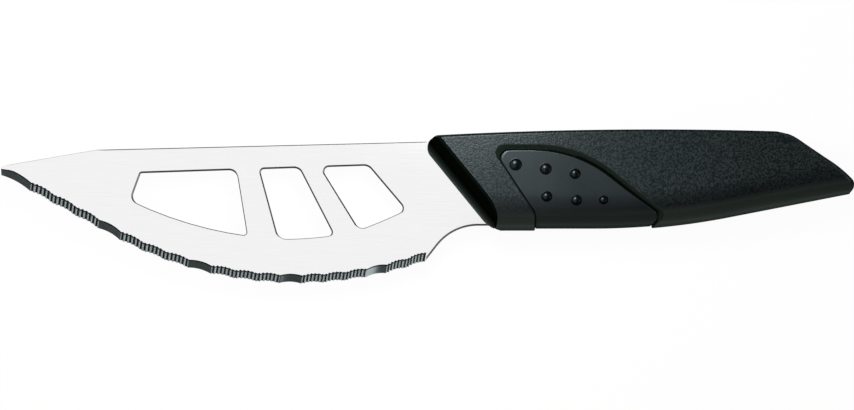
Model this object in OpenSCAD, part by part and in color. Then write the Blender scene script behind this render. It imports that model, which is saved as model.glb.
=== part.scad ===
// Pizza knife lying on its right flank: a serrated steel blade with three windows, a bolster,
// two handle scales pinned through the tang, and a soft grip saddle wrapped round the belly.
// X runs from the tip to the butt, Y from the edge to the spine, Z up through the thickness.
// Lengths are in millimetres and angles in degrees.

/* [Handle] */
// Length of the handle from the front of the bolster to the butt
handle_length = 127.7; // [115:0.1:145]
// Height of the handle from the crest of its back to its belly
handle_height = 30.4; // [27:0.1:35]
// Thickness of the handle between its flat flanks
handle_thickness = 20; // [17:0.5:24]
// Thickness of the handle at the butt
butt_thickness = 16; // [13:0.5:17]
// Distance behind the bolster at which the handle starts to thin
taper_start = 84; // [72:1:94]
// Radius of the long crown along the back
crown_radius = 1200; // [800:10:2000]
// Distance of the crown's crest behind the bolster
crest_x = 67.5; // [55:0.5:80]
// Height of the rounding between flank and back
back_round = 0.8; // [0.6:0.1:3]
// Height of the rounding between flank and belly
belly_round = 12; // [9:0.1:13]
// Squareness of both roundings, 2 being elliptical
squareness = 2.6; // [2:0.1:3]
// Length in front of the butt over which the belly rises
rise_length = 57.7; // [50:0.1:66]
// Slope of the rising belly
rise_angle = 11; // [8:0.1:13]
// Depth over which the level and the rising belly blend
belly_blend = 4; // [2:0.1:6]
// Angle of the butt's slanting cut to the length, above its bend
butt_angle = 34.5; // [33:0.1:38]
// Angle of the butt's cut to the length, below its bend
butt_end_angle = 46; // [42:0.1:50]
// Distance of the bend in front of the butt
butt_bend = 4.5; // [3.5:0.1:6]
// Radius of the bend
butt_bend_radius = 40; // [20:1:50]
// Radius at the top of the butt's cut
butt_top_radius = 16; // [6:0.5:20]
// Radius of the butt's tip
butt_tip_radius = 2.8; // [1.5:0.1:3.2]

/* [Bolster] */
// Angle of the bolster's front line to the vertical, seen from the side
nose_angle = 39.2; // [34:0.1:42]
// Distance that the round front sweeps back from the blade to the flank
nose_sweep = 5.3; // [4:0.1:7]
// Width of the smooth rim between the round front and the scales
nose_rim = 0.4; // [0.3:0.05:1]
// Radius of the bolster's top corner, seen from the side
nose_top_radius = 4; // [3:0.1:5]
// Radius of the bolster's chin, seen from the side
nose_chin_radius = 10; // [2:0.5:12]
// Depth of the tongue's end behind the front line
tongue_depth = 11.5; // [9:0.1:12.5]
// Depth of the tongue below the handle's surface
tongue_inset = 2.6; // [2:0.1:3.5]

/* [Blade] */
// Length of the blade from the tip to the front of the bolster
blade_length = 128; // [115:0.1:145]
// Height of the blade from the spine to its deepest tooth
blade_height = 41.6; // [38:0.1:46]
// Thickness of the sheet, left raw on the tang
sheet_thickness = 1.6; // [1.4:0.1:2.2]
// Thickness ground off each face of the exposed blade
face_grind = 0.05; // [0.02:0.01:0.1]
// Distance of the spine below the handle's crest, at the bolster
spine_inset = 3.7; // [3.3:0.1:5]
// Angle of the spine to the handle's length
spine_angle = 1.4; // [0:0.1:3]
// Length of the dropped point
point_length = 28.7; // [20:0.1:35]
// Angle of the dropped point to the handle's length
point_angle = 9.7; // [6:0.1:14]
// Height of the blunt tip
tip_height = 2.7; // [1.5:0.1:4]
// Radius of the curved edge
edge_radius = 115; // [105:1:130]
// Distance of the deepest place of the edge behind the tip
deepest_behind = 88.8; // [82:0.1:94]
// Distance of the heel in front of the bolster
heel_ahead = 0.9; // [0.5:0.1:4]
// Height of the blade's neck at the bolster
neck_height = 25.2; // [24:0.1:25.4]
// Angle of the rise from the heel to the neck
choil_angle = 52; // [45:1:65]
// Radius between heel and neck
choil_radius = 15.5; // [12:0.5:19]

/* [Serration] */
// Length of the scallop next to the heel
scallop_pitch = 6.05; // [5:0.05:8]
// Length that each scallop has more than its neighbour on the heel's side
pitch_growth = 0.106; // [0:0.002:0.15]
// Depth of a scallop
scallop_depth = 0.55; // [0.3:0.05:0.8]
// Number of fine teeth in a toothed scallop
teeth_per_scallop = 6; // [4:1:8]
// Depth of the fine teeth
tooth_depth = 0.26; // [0.15:0.01:0.4]
// Width of the ground bevel that the scallops are cut in
grind_width = 2.4; // [1.8:0.1:3.2]
// Every scallop of this number, counted from the tip, is left plain
plain_every = 4; // [2:1:6]

/* [Windows] */
// Width of steel between the spine and the line of the windows' tops, at the bolster
window_back_rim = 6.6; // [5:0.1:8]
// Angle of the line of the windows' tops to the handle's length
window_top_angle = 1.9; // [1:0.1:2.6]
// Width of steel between the edge and the windows
window_edge_rim = 13.2; // [10:0.1:14]

/* [Tang] */
// Depth of the blade's shoulder behind the bolster's front line
shoulder_depth = 4; // [3:0.1:5]
// Height of the tang
tang_height = 12; // [9:0.5:14]
// Distance of the tang's end in front of the butt
tang_end = 30; // [26:0.5:38]
// Distance of the front pin behind the bolster
front_pin = 42; // [38:0.5:46]
// Distance of the rear pin behind the bolster
rear_pin = 80; // [74:0.5:83]
// Distance of the butt pin in front of the butt
butt_pin = 20; // [18:0.5:22]
// Diameter of the dowel pins
pin_diameter = 5; // [3:0.5:6]
// Length of the dowel pins
pin_length = 12; // [9:0.5:13]

/* [Grip] */
// Distance of the saddle's front top corner behind the bolster
saddle_front = 19.4; // [18.5:0.1:22]
// Depth of the saddle's top below the handle's crest
saddle_top = 5.9; // [5:0.1:8]
// Distance behind the bolster at which the saddle's top turns down
saddle_shoulder = 44.4; // [40:0.1:50]
// Slope of the saddle's rear side
saddle_slope = 39; // [34:0.5:44]
// Distance of the saddle's foot behind the bolster, at the front
saddle_foot = 32.1; // [30:0.1:36]
// Distance of the saddle's heel behind the bolster
saddle_heel = 69.9; // [66:0.1:76]
// Radius at the saddle's front top corner
saddle_corner_radius = 2.5; // [1:0.1:4]
// Radius where the saddle's top turns down
saddle_turn_radius = 37; // [20:1:45]
// Thickness of the soft saddle
saddle_thickness = 1.8; // [1.4:0.1:2.2]
// Depth of the saddle's surface below the scales' surface
saddle_recess = 0.6; // [0.3:0.1:0.9]
// Width of the bevel on the scales above and behind the saddle
bevel_width = 1.6; // [0.8:0.1:2]
// Depth of that bevel where it meets the saddle
bevel_depth = 1.1; // [0.8:0.1:1.4]
// Height of the grip domes
dome_height = 0.55; // [0.3:0.05:0.6]
// Diameter of the plugs that anchor the saddle
plug_diameter = 4; // [3:0.5:5]
// Length of the plugs that anchor the saddle
plug_length = 1.6; // [1:0.1:2]

/* [Fits] */
// Gap between moulded pieces that meet
fit_gap = 0.1; // [0.05:0.01:0.2]
// Radial gap around the dowel pins
pin_gap = 0.03; // [0.01:0.01:0.08]
// Gap between the tang and its seat
tang_gap = 0.1; // [0.05:0.01:0.2]

/* [Hidden] */
$fn = 64;

// Distances in front of the bolster of each window's corners, top rear first and round the front,
// with the steel added below its front and its rear end
windows = [
    [57.4, 86.1, 89.1, 54.2, 0.3, 0.2],
    [38.6, 50.4, 44.7, 28.2, 0, 0.7],
    [17.9, 32.1, 20.5, 6.6, 1.4, 4.1]
];
// Radii of the same corners
window_radii = [
    [2.7, 0.6, 2.6, 0.9],
    [2.6, 1, 3, 1.2],
    [3, 1.4, 2.3, 1.6]
];
// Grip domes of one flank: distance behind the bolster, depth below the crest, diameter
domes = [
    [26.2, 10.5, 3.6],
    [35.2, 11.8, 3.4],
    [44, 13.3, 3.1],
    [35.5, 20.2, 3.2],
    [44.4, 21.4, 3.2],
    [52.5, 21.3, 2.7]
];
// Saddle plugs of one flank: distance behind the bolster, depth below the crest
plugs = [
    [31, 15],
    [52, 16.5]
];

// Steps of each rounded corner, and of each window's lower side
arc_steps = 8;
side_steps = 6;
// Share of a side that a corner's rounding may take
corner_room = 0.9;
// Share of the handle's height that its two roundings may take, and the least height of the back's
// rounding on faces that lie below the surface
round_room = 0.95;
least_round = 0.4;
// Reach of the cuts that run right through a piece
far = 200;
// Distance that an outline runs clear of the surface it is cut to
lip = 0.3;
// Steps of the seam between bolster and scales, and of the loft along the handle
seam_steps = 18;
bar_steps = 24;
// Distances that the loft runs past the handle's front and butt before it is cut
bar_ahead = 12;
bar_past = 6;
// Steps of the edge's curve, and the reach of the grooves ground across it
edge_steps = 24;
groove_length = 14;
// Overlap of neighbouring scallops, and the share of a fine tooth that its groove rounds
groove_overlap = 0.1;
tooth_share = 0.8;
// Distances that the saddle's bevel is carried on below the saddle and above the flank
bevel_below = 0.5;
bevel_above = 1;
blade_thickness = sheet_thickness - 2 * face_grind;

// Plain geometry
function unit(v) = v / norm(v);
function polar(radius, angle) = radius * [cos(angle), sin(angle)];
function smooth_max(a, b, k) = max(a, b) + pow(max(k - abs(a - b), 0), 2) / (4 * k);
// Where the line through p at one angle meets the line through q at another
function crossing(p, p_angle, q, q_angle) =
    let (across = [-sin(q_angle), cos(q_angle)])
    p + polar(((q - p) * across) / (polar(1, p_angle) * across), p_angle);
// Circle that rounds a corner: centre, start angle, sweep and radius
function corner_circle(before, corner, after, wanted) =
    let (
        to_before = unit(before - corner),
        to_after = unit(after - corner),
        half = acos(to_before * to_after) / 2,
        room = corner_room * min(norm(before - corner), norm(after - corner)),
        radius = min(wanted, room * tan(half)),
        centre = corner + unit(to_before + to_after) * radius / sin(half),
        start = corner + to_before * radius / tan(half) - centre,
        end = corner + to_after * radius / tan(half) - centre
    )
    [centre, atan2(start[1], start[0]), atan2(start[0] * end[1] - start[1] * end[0], start * end), radius];
function arc(c) = [for (k = [0:arc_steps]) c[0] + polar(c[3], c[1] + c[2] * k / arc_steps)];
// Closed outline through corners, each rounded with its own radius
function rounded(corners, radii) =
    let (count = len(corners))
    [
        for (i = [0:count - 1])
            each radii[i] == 0 ? [corners[i]] :
                arc(corner_circle(corners[(i + count - 1) % count], corners[i],
                    corners[(i + 1) % count], radii[i]))
    ];

// Side view of the handle
function back_y(x) = -pow(x - crest_x, 2) / (2 * crown_radius);
function back_angle(x) = -atan((x - crest_x) / crown_radius);
function rising_y(x) = -handle_height + (x - handle_length + rise_length) * tan(rise_angle);
function belly_y(x) = smooth_max(-handle_height, rising_y(x), belly_blend);
function middle_y(x) = (back_y(x) + belly_y(x)) / 2;

// Half the handle's thickness at a place in the side view and a depth below the surface
function half_thickness(x) =
    let (share = max(0, (x - taper_start) / (handle_length - taper_start)))
    handle_thickness / 2 - (handle_thickness - butt_thickness) / 2 * share * share;
function round_share(x) = min(1, round_room * (back_y(x) - belly_y(x)) / (back_round + belly_round));
function half_z(x, y, inset) =
    let (
        back = max(least_round, back_round * round_share(x) - inset),
        belly = belly_round * round_share(x) - inset,
        over_back = max(0, y - back_y(x) + inset + back) / back,
        over_belly = max(0, belly_y(x) + inset + belly - y) / belly,
        over = min(1, max(over_back, over_belly))
    )
    (half_thickness(x) - inset) * pow(1 - pow(over, squareness), 1 / squareness);

// Front line of the bolster on the knife's middle plane, and the round front behind it
nose_back = polar(1, nose_angle);
nose_down = polar(1, nose_angle - 90);
nose_start = [nose_top_radius, back_y(nose_top_radius) - nose_top_radius] - nose_top_radius * nose_back;
nose_radius = (pow(handle_thickness / 2, 2) + pow(nose_sweep, 2)) / (2 * nose_sweep);
function nose_point(down, back) = nose_start + down * nose_down + back * nose_back;
// Depth of the round front where it meets the handle's surface, found in a few rounds
function nose_depth(down, depth = nose_sweep, rounds = 12) =
    rounds == 0 ? depth :
    let (p = nose_point(down, depth), z = half_z(p[0], p[1], 0))
    nose_depth(down, (depth + nose_radius - sqrt(pow(nose_radius, 2) - z * z)) / 2, rounds - 1);
nose_run = handle_height / cos(nose_angle);
function seam(extra) = [
    for (k = [-4:seam_steps + 2])
        let (down = nose_run * k / seam_steps)
        nose_point(down, nose_depth(down) + nose_rim + extra)
];

// Handle's side view: slanting front and butt with their rounded corners, clear of back and belly
butt_line_y = rising_y(handle_length) - lip;
butt_foot = [handle_length, butt_line_y];
butt_probe = corner_circle(butt_foot - polar(far, -butt_end_angle), butt_foot,
    butt_foot - polar(far, rise_angle), butt_tip_radius);
butt_shift = handle_length - butt_probe[0][0] - butt_probe[3];
butt_low = butt_foot + polar(butt_shift / cos(rise_angle), rise_angle);
butt_middle = crossing(butt_low, -butt_end_angle, [handle_length - butt_bend, 0], 90);
butt_high_x = crossing(butt_middle, -butt_angle, [0, back_y(handle_length)], 0)[0];
butt_high = crossing(butt_middle, -butt_angle,
    [butt_high_x, back_y(butt_high_x) + lip / 2], back_angle(butt_high_x));
front_high = crossing(nose_start, nose_angle - 90, [0, back_y(0) + lip / 2], back_angle(0));
side_outline = rounded(
    [
        front_high,
        crossing([0, back_y(0) + lip / 2], back_angle(0), butt_high, back_angle(butt_high_x)),
        butt_high,
        butt_middle,
        butt_low,
        crossing(butt_low, rise_angle, [0, -handle_height - lip], 0),
        crossing(nose_start, nose_angle - 90, [0, -handle_height - lip], 0)
    ],
    [nose_top_radius, 0, butt_top_radius, butt_bend_radius, butt_tip_radius, 0, nose_chin_radius]
);

// Saddle's outline in the side view; each side is a place, an angle and its radius to the next
saddle_low = handle_height + 10 * lip;
saddle_foot_height = 5;
saddle_foot_radius = 5;
saddle_heel_angle = 228;
saddle_heel_radius = 2;
saddle_front_angle = atan2(handle_height - saddle_top - saddle_foot_height, saddle_front - saddle_foot);
saddle_heel_depth = saddle_top + (saddle_heel - saddle_shoulder) * tan(saddle_slope);
saddle_sides = [
    [[saddle_front, -saddle_top], 0, saddle_turn_radius],
    [[saddle_shoulder, -saddle_top], -saddle_slope, saddle_heel_radius],
    [[saddle_heel, -saddle_heel_depth], saddle_heel_angle, 0],
    [[0, -saddle_low], 180, 0],
    [[saddle_foot, 0], 90, saddle_foot_radius],
    [[saddle_front, -saddle_top], saddle_front_angle, saddle_corner_radius]
];
// Outline grown on every side, and further by the bevel on its top and rear sides
function saddle_outline(grow, bevel = 0) =
    let (
        count = len(saddle_sides),
        places = [
            for (i = [0:count - 1])
                saddle_sides[i][0] + polar(grow + (i < 2 ? bevel : 0), saddle_sides[i][1] + 90)
        ],
        corners = [
            for (i = [0:count - 1])
                crossing(places[i], saddle_sides[i][1],
                    places[(i + 1) % count], saddle_sides[(i + 1) % count][1])
        ]
    )
    rounded(corners, [for (side = saddle_sides) side[2]]);
saddle_bed = saddle_recess + saddle_thickness + fit_gap;

// Blade's outline: spine, dropped point, blunt tip, edge, heel and neck
function spine_y(x) = -spine_inset + x * tan(spine_angle);
point_x = point_length - blade_length;
tip_high = [-blade_length, spine_y(point_x) - point_length * tan(point_angle)];
tip_low = tip_high - [0, tip_height];
neck_y = -spine_inset - neck_height;
deepest_ahead = blade_length - deepest_behind;
edge_low = spine_y(-deepest_ahead) - blade_height;
edge_centre = [-deepest_ahead, edge_low + edge_radius];
heel_angle = -90 + asin((deepest_ahead - heel_ahead) / edge_radius);
heel = edge_centre + polar(edge_radius, heel_angle);
// The straight front of the edge leaves the curved part as its tangent through the tip
tip_away = tip_low - edge_centre;
straight_angle = atan2(tip_away[1], tip_away[0]) + acos(edge_radius / norm(tip_away));
straight_end = edge_centre + polar(edge_radius, straight_angle);
turn_angle = heel_angle - (straight_angle > 0 ? straight_angle - 360 : straight_angle);
curve_length = edge_radius * turn_angle * PI / 180;
edge_length = curve_length + norm(tip_low - straight_end);
// Place on the edge at a distance from the heel
function edge_point(d) = d < curve_length ?
    edge_centre + polar(edge_radius, heel_angle - d / edge_radius * 180 / PI) :
    straight_end + (d - curve_length) * unit(tip_low - straight_end);
function edge_y(x) = edge_centre[1] - sqrt(pow(edge_radius, 2) - pow(x - edge_centre[0], 2));
function scallop_start(k) = k * scallop_pitch + pitch_growth * k * (k - 1) / 2;
scallop_ends = concat(
    [for (k = [0:40]) if (scallop_start(k) < edge_length - scallop_pitch) scallop_start(k)],
    [edge_length]
);
scallop_count = len(scallop_ends) - 1;
grind_angle = atan2(blade_thickness, grind_width);
choil_corner = crossing(heel, choil_angle, [0, neck_y], 0);
// Neck between two depths behind the bolster's front line
function neck(front, rear, grow) =
    let (
        spine_place = [0, -spine_inset + grow],
        low_place = [0, neck_y - grow],
        down = nose_angle - 90
    )
    [
        crossing(nose_point(0, rear), down, spine_place, spine_angle),
        crossing(nose_point(0, front), down, spine_place, spine_angle),
        crossing(nose_point(0, front), down, low_place, 0),
        crossing(nose_point(0, rear), down, low_place, 0)
    ];
shoulder = neck(0, shoulder_depth, 0);
function window(i) =
    let (
        w = windows[i],
        r = window_radii[i],
        low = [
            for (k = [0:side_steps])
                let (x = -w[2] + (w[2] - w[3]) * k / side_steps)
                [x, edge_y(x) + window_edge_rim + w[4] + (w[5] - w[4]) * k / side_steps]
        ],
        high = [for (x = [-w[0], -w[1]]) [x, x * tan(window_top_angle) - spine_inset - window_back_rim]]
    )
    rounded(concat(high, low), concat([r[0], r[1], r[2]], [for (k = [2:side_steps]) 0], [r[3]]));

// Pins: two through the tang, one behind it
pins = [for (x = [front_pin, rear_pin, handle_length - butt_pin]) [x, middle_y(x)]];
tang_angle = atan2(pins[1][1] - pins[0][1], pins[1][0] - pins[0][0]);
tang_stop = (handle_length - tang_end - pins[0][0]) / cos(tang_angle);

// Centre of the knife's box, on the floor
move = [(blade_length - handle_length) / 2, -edge_low / 2, handle_thickness / 2];

// Handle's form at a depth below its surface
function ring(x, inset) =
    let (
        back = max(least_round, back_round * round_share(x) - inset),
        belly = belly_round * round_share(x) - inset,
        half = half_thickness(x) - inset,
        power = 2 / squareness,
        side = concat(
            [
                for (a = [0:10:90])
                    [belly_y(x) + inset + belly * (1 - pow(cos(a), power)), half * pow(sin(a), power)]
            ],
            [
                for (a = [0:11.25:90])
                    [back_y(x) - inset - back * (1 - pow(sin(a), power)), half * pow(cos(a), power)]
            ]
        ),
        last = len(side) - 1
    )
    concat([for (p = side) [x, p[0], p[1]]], [for (i = [last - 1:-1:1]) [x, side[i][0], -side[i][1]]]);

module bar(inset) {
    span = bar_ahead + handle_length + bar_past;
    stations = [for (k = [0:bar_steps]) -bar_ahead + span * k / bar_steps];
    rings = [for (x = stations) ring(x, inset)];
    n = len(rings[0]);
    last = (len(rings) - 1) * n;
    points = [for (r = rings) each r];
    walls = [
        for (s = [0:len(rings) - 2])
            for (i = [0:n - 1])
                let (a = s * n + i, b = s * n + (i + 1) % n)
                each [[a, b, b + n], [a, b + n, a + n]]
    ];
    ends = [for (i = [1:n - 2]) each [[0, i + 1, i], [last, last + i, last + i + 1]]];
    polyhedron(points, concat(walls, ends), convexity = 4);
}

module prism(outline) {
    linear_extrude(height = 2 * far, center = true)
        polygon(outline);
}

// Everything behind the bolster's round front
module behind_front() {
    translate(nose_start)
        rotate(nose_angle) {
            translate([nose_radius, 0, 0])
                rotate([90, 0, 0])
                    cylinder(r = nose_radius, h = far, center = true);
            translate([nose_radius, -far / 2, -far / 2])
                cube([far, far, far]);
        }
}

// Everything in front of a plane behind the bolster's front line
module ahead_of(depth) {
    translate(nose_start)
        rotate(nose_angle)
            translate([depth - far, -far / 2, -far / 2])
                cube([far, far, far]);
}

// Everything in front of the scales' front edge
module ahead_of_seam(extra) {
    line = seam(extra);
    prism(concat(line, [line[len(line) - 1] - [far, 0], line[0] - [far, 0]]));
}

// Raw neck and tang, with a round end
module tang_form(grow) {
    half = tang_height / 2 + grow;
    front = nose_point(0, shoulder_depth - 1);
    down = nose_angle - 90;
    upper = pins[0] + polar(half, tang_angle + 90);
    lower = pins[0] + polar(half, tang_angle - 90);
    end = polar(tang_stop - tang_height / 2, tang_angle);
    linear_extrude(height = sheet_thickness + 2 * grow, center = true) {
        polygon(neck(-lip, shoulder_depth + grow, grow));
        polygon([
            crossing(front, down, upper, tang_angle),
            crossing(front, down, lower, tang_angle),
            lower + end,
            upper + end
        ]);
        translate(pins[0] + end)
            circle(r = half);
    }
}

// Slanting groove of the ground edge, its deepest line at a height above the edge's chord
module groove(along, height, width, sagitta) {
    depth = sagitta * sin(grind_angle);
    radius = (width * width / 4 + depth * depth) / (2 * depth);
    translate([along, height, -blade_thickness / 2])
        rotate([grind_angle - 90, 0, 0])
            translate([0, -radius, blade_thickness])
                cylinder(r = radius, h = groove_length, center = true);
}

module scallop(k) {
    a = edge_point(scallop_ends[k]);
    b = edge_point(scallop_ends[k + 1]);
    chord = norm(a - b);
    plain = (scallop_count - 1 - k) % plain_every == 0;
    n = teeth_per_scallop;
    translate((a + b) / 2)
        rotate(atan2(a[1] - b[1], a[0] - b[0]))
            if (plain)
                groove(0, scallop_depth, chord + groove_overlap, scallop_depth);
            else
                for (i = [0:n - 1]) {
                    share = (2 * i + 1 - n) / n;
                    height = scallop_depth * (pow((n - 1) / n, 2) - share * share) + tooth_depth;
                    groove(share * chord / 2, height, chord / n, tooth_share * tooth_depth);
                }
}

module blade() {
    curve = [for (k = [0:edge_steps]) edge_point(curve_length * (1 - k / edge_steps))];
    choil = arc(corner_circle(heel, choil_corner, shoulder[3], choil_radius));
    outline = concat(
        [tip_high, tip_low],
        curve,
        choil,
        [shoulder[3], shoulder[0], [point_x, spine_y(point_x)]]
    );
    color([0.86, 0.87, 0.88])
        translate(move)
            difference() {
                union() {
                    linear_extrude(height = blade_thickness, center = true)
                        polygon(outline);
                    tang_form(0);
                }
                for (i = [0:len(windows) - 1])
                    prism(window(i));
                for (k = [0:scallop_count - 1])
                    scallop(k);
                for (k = [0, 1])
                    translate(pins[k])
                        cylinder(d = pin_diameter + 2 * pin_gap, h = far, center = true);
            }
}

module bolster() {
    color([0.09, 0.1, 0.09])
        translate(move)
            difference() {
                intersection() {
                    union() {
                        intersection() {
                            bar(0);
                            ahead_of_seam(0);
                        }
                        intersection() {
                            bar(tongue_inset);
                            ahead_of(tongue_depth);
                        }
                    }
                    prism(side_outline);
                    behind_front();
                }
                tang_form(tang_gap);
            }
}

// Bevel above and behind the saddle, widening from below its surface to above the flank
module saddle_bevel() {
    slope = bevel_width / bevel_depth;
    bottom = handle_thickness / 2 - bevel_depth - bevel_below;
    top = handle_thickness / 2 + bevel_above;
    low = saddle_outline(0, -bevel_below * slope);
    high = saddle_outline(0, (bevel_depth + bevel_above) * slope);
    n = len(low);
    centre = [(saddle_shoulder + saddle_foot) / 2, middle_y(saddle_shoulder)];
    points = concat(
        [for (p = low) [p[0], p[1], bottom]],
        [for (p = high) [p[0], p[1], top]],
        [[centre[0], centre[1], bottom], [centre[0], centre[1], top]]
    );
    faces = [
        for (i = [0:n - 1])
            let (j = (i + 1) % n)
            each [[i, j, n + j], [i, n + j, n + i], [j, i, 2 * n], [n + i, n + j, 2 * n + 1]]
    ];
    polyhedron(points, faces, convexity = 4);
}

module upper_scale() {
    difference() {
        intersection() {
            bar(0);
            prism(side_outline);
            translate([-far, -far, fit_gap / 2])
                cube([2 * far, 2 * far, far]);
        }
        ahead_of_seam(fit_gap);
        intersection() {
            bar(tongue_inset - fit_gap);
            ahead_of(tongue_depth + fit_gap);
        }
        tang_form(tang_gap);
        difference() {
            prism(saddle_outline(0));
            bar(saddle_bed);
        }
        saddle_bevel();
        for (p = pins)
            translate(p)
                cylinder(d = pin_diameter + 2 * pin_gap, h = pin_length + 2 * fit_gap, center = true);
        for (p = plugs)
            translate([p[0], -p[1], handle_thickness / 2 - saddle_bed - plug_length])
                cylinder(d = plug_diameter + 2 * fit_gap, h = far);
    }
}

module left_scale() {
    color([0.2, 0.23, 0.23])
        translate(move)
            upper_scale();
}

module right_scale() {
    color([0.2, 0.23, 0.23])
        translate(move)
            mirror([0, 0, 1])
                upper_scale();
}

module dome(place) {
    x = place[0];
    y = -place[1];
    width = place[2];
    radius = (width * width / 4 + dome_height * dome_height) / (2 * dome_height);
    translate([x, y, half_z(x, y, saddle_recess) + dome_height - radius])
        intersection() {
            sphere(r = radius);
            translate([0, 0, radius - dome_height - saddle_thickness / 2])
                cylinder(d = width, h = far);
        }
}

module grip_saddle() {
    color([0.25, 0.29, 0.3])
        translate(move) {
            difference() {
                intersection() {
                    bar(saddle_recess);
                    prism(saddle_outline(-fit_gap));
                }
                bar(saddle_recess + saddle_thickness);
            }
            for (side = [0, 1])
                mirror([0, 0, side]) {
                    for (place = domes)
                        dome(place);
                    for (p = plugs)
                        translate([p[0], -p[1], handle_thickness / 2 - saddle_bed + fit_gap - plug_length])
                            cylinder(d = plug_diameter, h = plug_length + saddle_thickness / 2);
                }
        }
}

module dowel_pins() {
    color([0.7, 0.71, 0.72])
        translate(move)
            for (p = pins)
                translate(p)
                    cylinder(d = pin_diameter, h = pin_length, center = true);
}

blade();
bolster();
left_scale();
right_scale();
grip_saddle();
dowel_pins();
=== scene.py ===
"""Looks of the pizza knife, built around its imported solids."""

import math

import bpy
import numpy as np
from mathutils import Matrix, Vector
from mathutils.geometry import delaunay_2d_cdt


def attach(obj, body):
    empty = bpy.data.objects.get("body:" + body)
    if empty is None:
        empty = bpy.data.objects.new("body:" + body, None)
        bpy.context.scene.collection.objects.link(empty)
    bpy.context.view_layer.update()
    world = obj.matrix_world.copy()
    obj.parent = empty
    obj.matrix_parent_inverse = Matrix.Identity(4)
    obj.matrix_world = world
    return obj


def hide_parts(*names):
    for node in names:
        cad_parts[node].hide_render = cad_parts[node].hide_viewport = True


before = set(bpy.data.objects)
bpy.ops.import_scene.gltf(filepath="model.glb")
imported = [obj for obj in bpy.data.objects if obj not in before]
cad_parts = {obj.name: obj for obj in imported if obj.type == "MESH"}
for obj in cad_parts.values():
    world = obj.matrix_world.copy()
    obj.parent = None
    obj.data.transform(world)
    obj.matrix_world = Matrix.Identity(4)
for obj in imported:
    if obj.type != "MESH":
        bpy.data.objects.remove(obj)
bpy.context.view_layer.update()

MM = 0.001

# Handle, in millimetres and degrees, from the bolster's front, the crest of the back and the mid-plane
HANDLE_LENGTH = 127.7
HANDLE_HEIGHT = 30.4
HANDLE_THICKNESS = 20.0
BUTT_THICKNESS = 16.0
TAPER_START = 84.0
CROWN_RADIUS = 1200.0
CREST_X = 67.5
BACK_ROUND = 0.8
LEAST_ROUND = 0.4
BELLY_ROUND = 12.0
SQUARENESS = 2.6
RISE_LENGTH = 57.7
RISE_ANGLE = 11.0
BELLY_BLEND = 4.0
BUTT_ANGLE = 34.5
BUTT_END_ANGLE = 46.0
BUTT_BEND = 4.5
BUTT_BEND_RADIUS = 40.0
BUTT_TOP_RADIUS = 16.0
BUTT_TIP_RADIUS = 2.8
BUTT_ARRIS = 0.7
ROUND_ROOM = 0.95
LIP = 0.3
FIT_GAP = 0.1

# Bolster
NOSE_ANGLE = 39.2
NOSE_SWEEP = 5.3
NOSE_RIM = 0.4
NOSE_TOP_RADIUS = 4.0
NOSE_CHIN_RADIUS = 10.0
NOSE_ARRIS = 0.35
SEAM_ARRIS = 0.35

# Blade
BLADE_LENGTH = 128.0
BLADE_HEIGHT = 41.6
BLADE_THICKNESS = 1.5
SPINE_INSET = 3.7
SPINE_ANGLE = 1.4
POINT_LENGTH = 28.7
POINT_ANGLE = 9.7
TIP_HEIGHT = 2.7
EDGE_RADIUS = 115.0
DEEPEST_BEHIND = 88.8
HEEL_AHEAD = 0.9
NECK_HEIGHT = 25.2
CHOIL_ANGLE = 52.0
CHOIL_RADIUS = 15.5
SCALLOP_PITCH = 6.05
PITCH_GROWTH = 0.106
SCALLOP_DEPTH = 0.55
TEETH_PER_SCALLOP = 6
TOOTH_DEPTH = 0.26
TOOTH_SHARE = 0.8
LAND_SHARE = 0.4
GROOVE_ANGLE = 80.0
GRIND_WIDTH = 2.4
TIP_GRIND = 1.95
PLAIN_EVERY = 4
WINDOW_BACK_RIM = 6.6
WINDOW_TOP_ANGLE = 1.9
WINDOW_EDGE_RIM = 13.2
# Corners of each window ahead of the bolster, top rear first, with the steel added below its ends
WINDOWS = [
    (57.4, 86.1, 89.1, 54.2, 0.3, 0.2),
    (38.6, 50.4, 44.7, 28.2, 0.0, 0.7),
    (17.9, 32.1, 20.5, 6.6, 1.4, 4.1),
]
WINDOW_RADII = [(2.7, 0.6, 2.6, 0.9), (2.6, 1.0, 3.0, 1.2), (3.0, 1.4, 2.3, 1.6)]
# Broken edges of the sheet: distance in from an outline, and depth below the face
CHAMFER = [(0.0, 0.38), (0.04, 0.33), (0.44, 0.04), (0.50, 0.008), (0.56, 0.0)]
# Shares of that chamfer: at each window's top, front, foot and rear
WINDOW_SHARES = [(1.0, 0.95, 0.4, 0.5), (1.0, 0.8, 0.3, 0.8), (0.95, 0.85, 0.35, 0.8)]
# Shares of that chamfer: on the point, the spine, neck and choil, behind
POINT_SHARE = 0.12
SPINE_SHARE = 0.45
NECK_SHARE = 1.05
UNDER_SHARE = 0.3
# Tang
SHOULDER_DEPTH = 4.0
TANG_HEIGHT = 12.0
TANG_END = 30.0
FRONT_PIN = 42.0
REAR_PIN = 80.0
PIN_DIAMETER = 5.06

# Grip saddle
SADDLE_FRONT = 19.4
SADDLE_TOP = 5.9
SADDLE_SHOULDER = 44.4
SADDLE_SLOPE = 39.0
SADDLE_FOOT = 32.1
SADDLE_HEEL = 69.9
SADDLE_CORNER_RADIUS = 2.5
SADDLE_TURN_RADIUS = 37.0
SADDLE_FOOT_HEIGHT = 5.0
SADDLE_FOOT_RADIUS = 5.0
SADDLE_HEEL_ANGLE = 228.0
SADDLE_HEEL_RADIUS = 2.0
SADDLE_THICKNESS = 1.8
SADDLE_RECESS = 0.6
SADDLE_ARRIS = 0.35
BEVEL_WIDTH = 1.6
BEVEL_DEPTH = 1.1
FRONT_BEVEL_SHARE = 0.65
DOME_HEIGHT = 0.55
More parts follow.
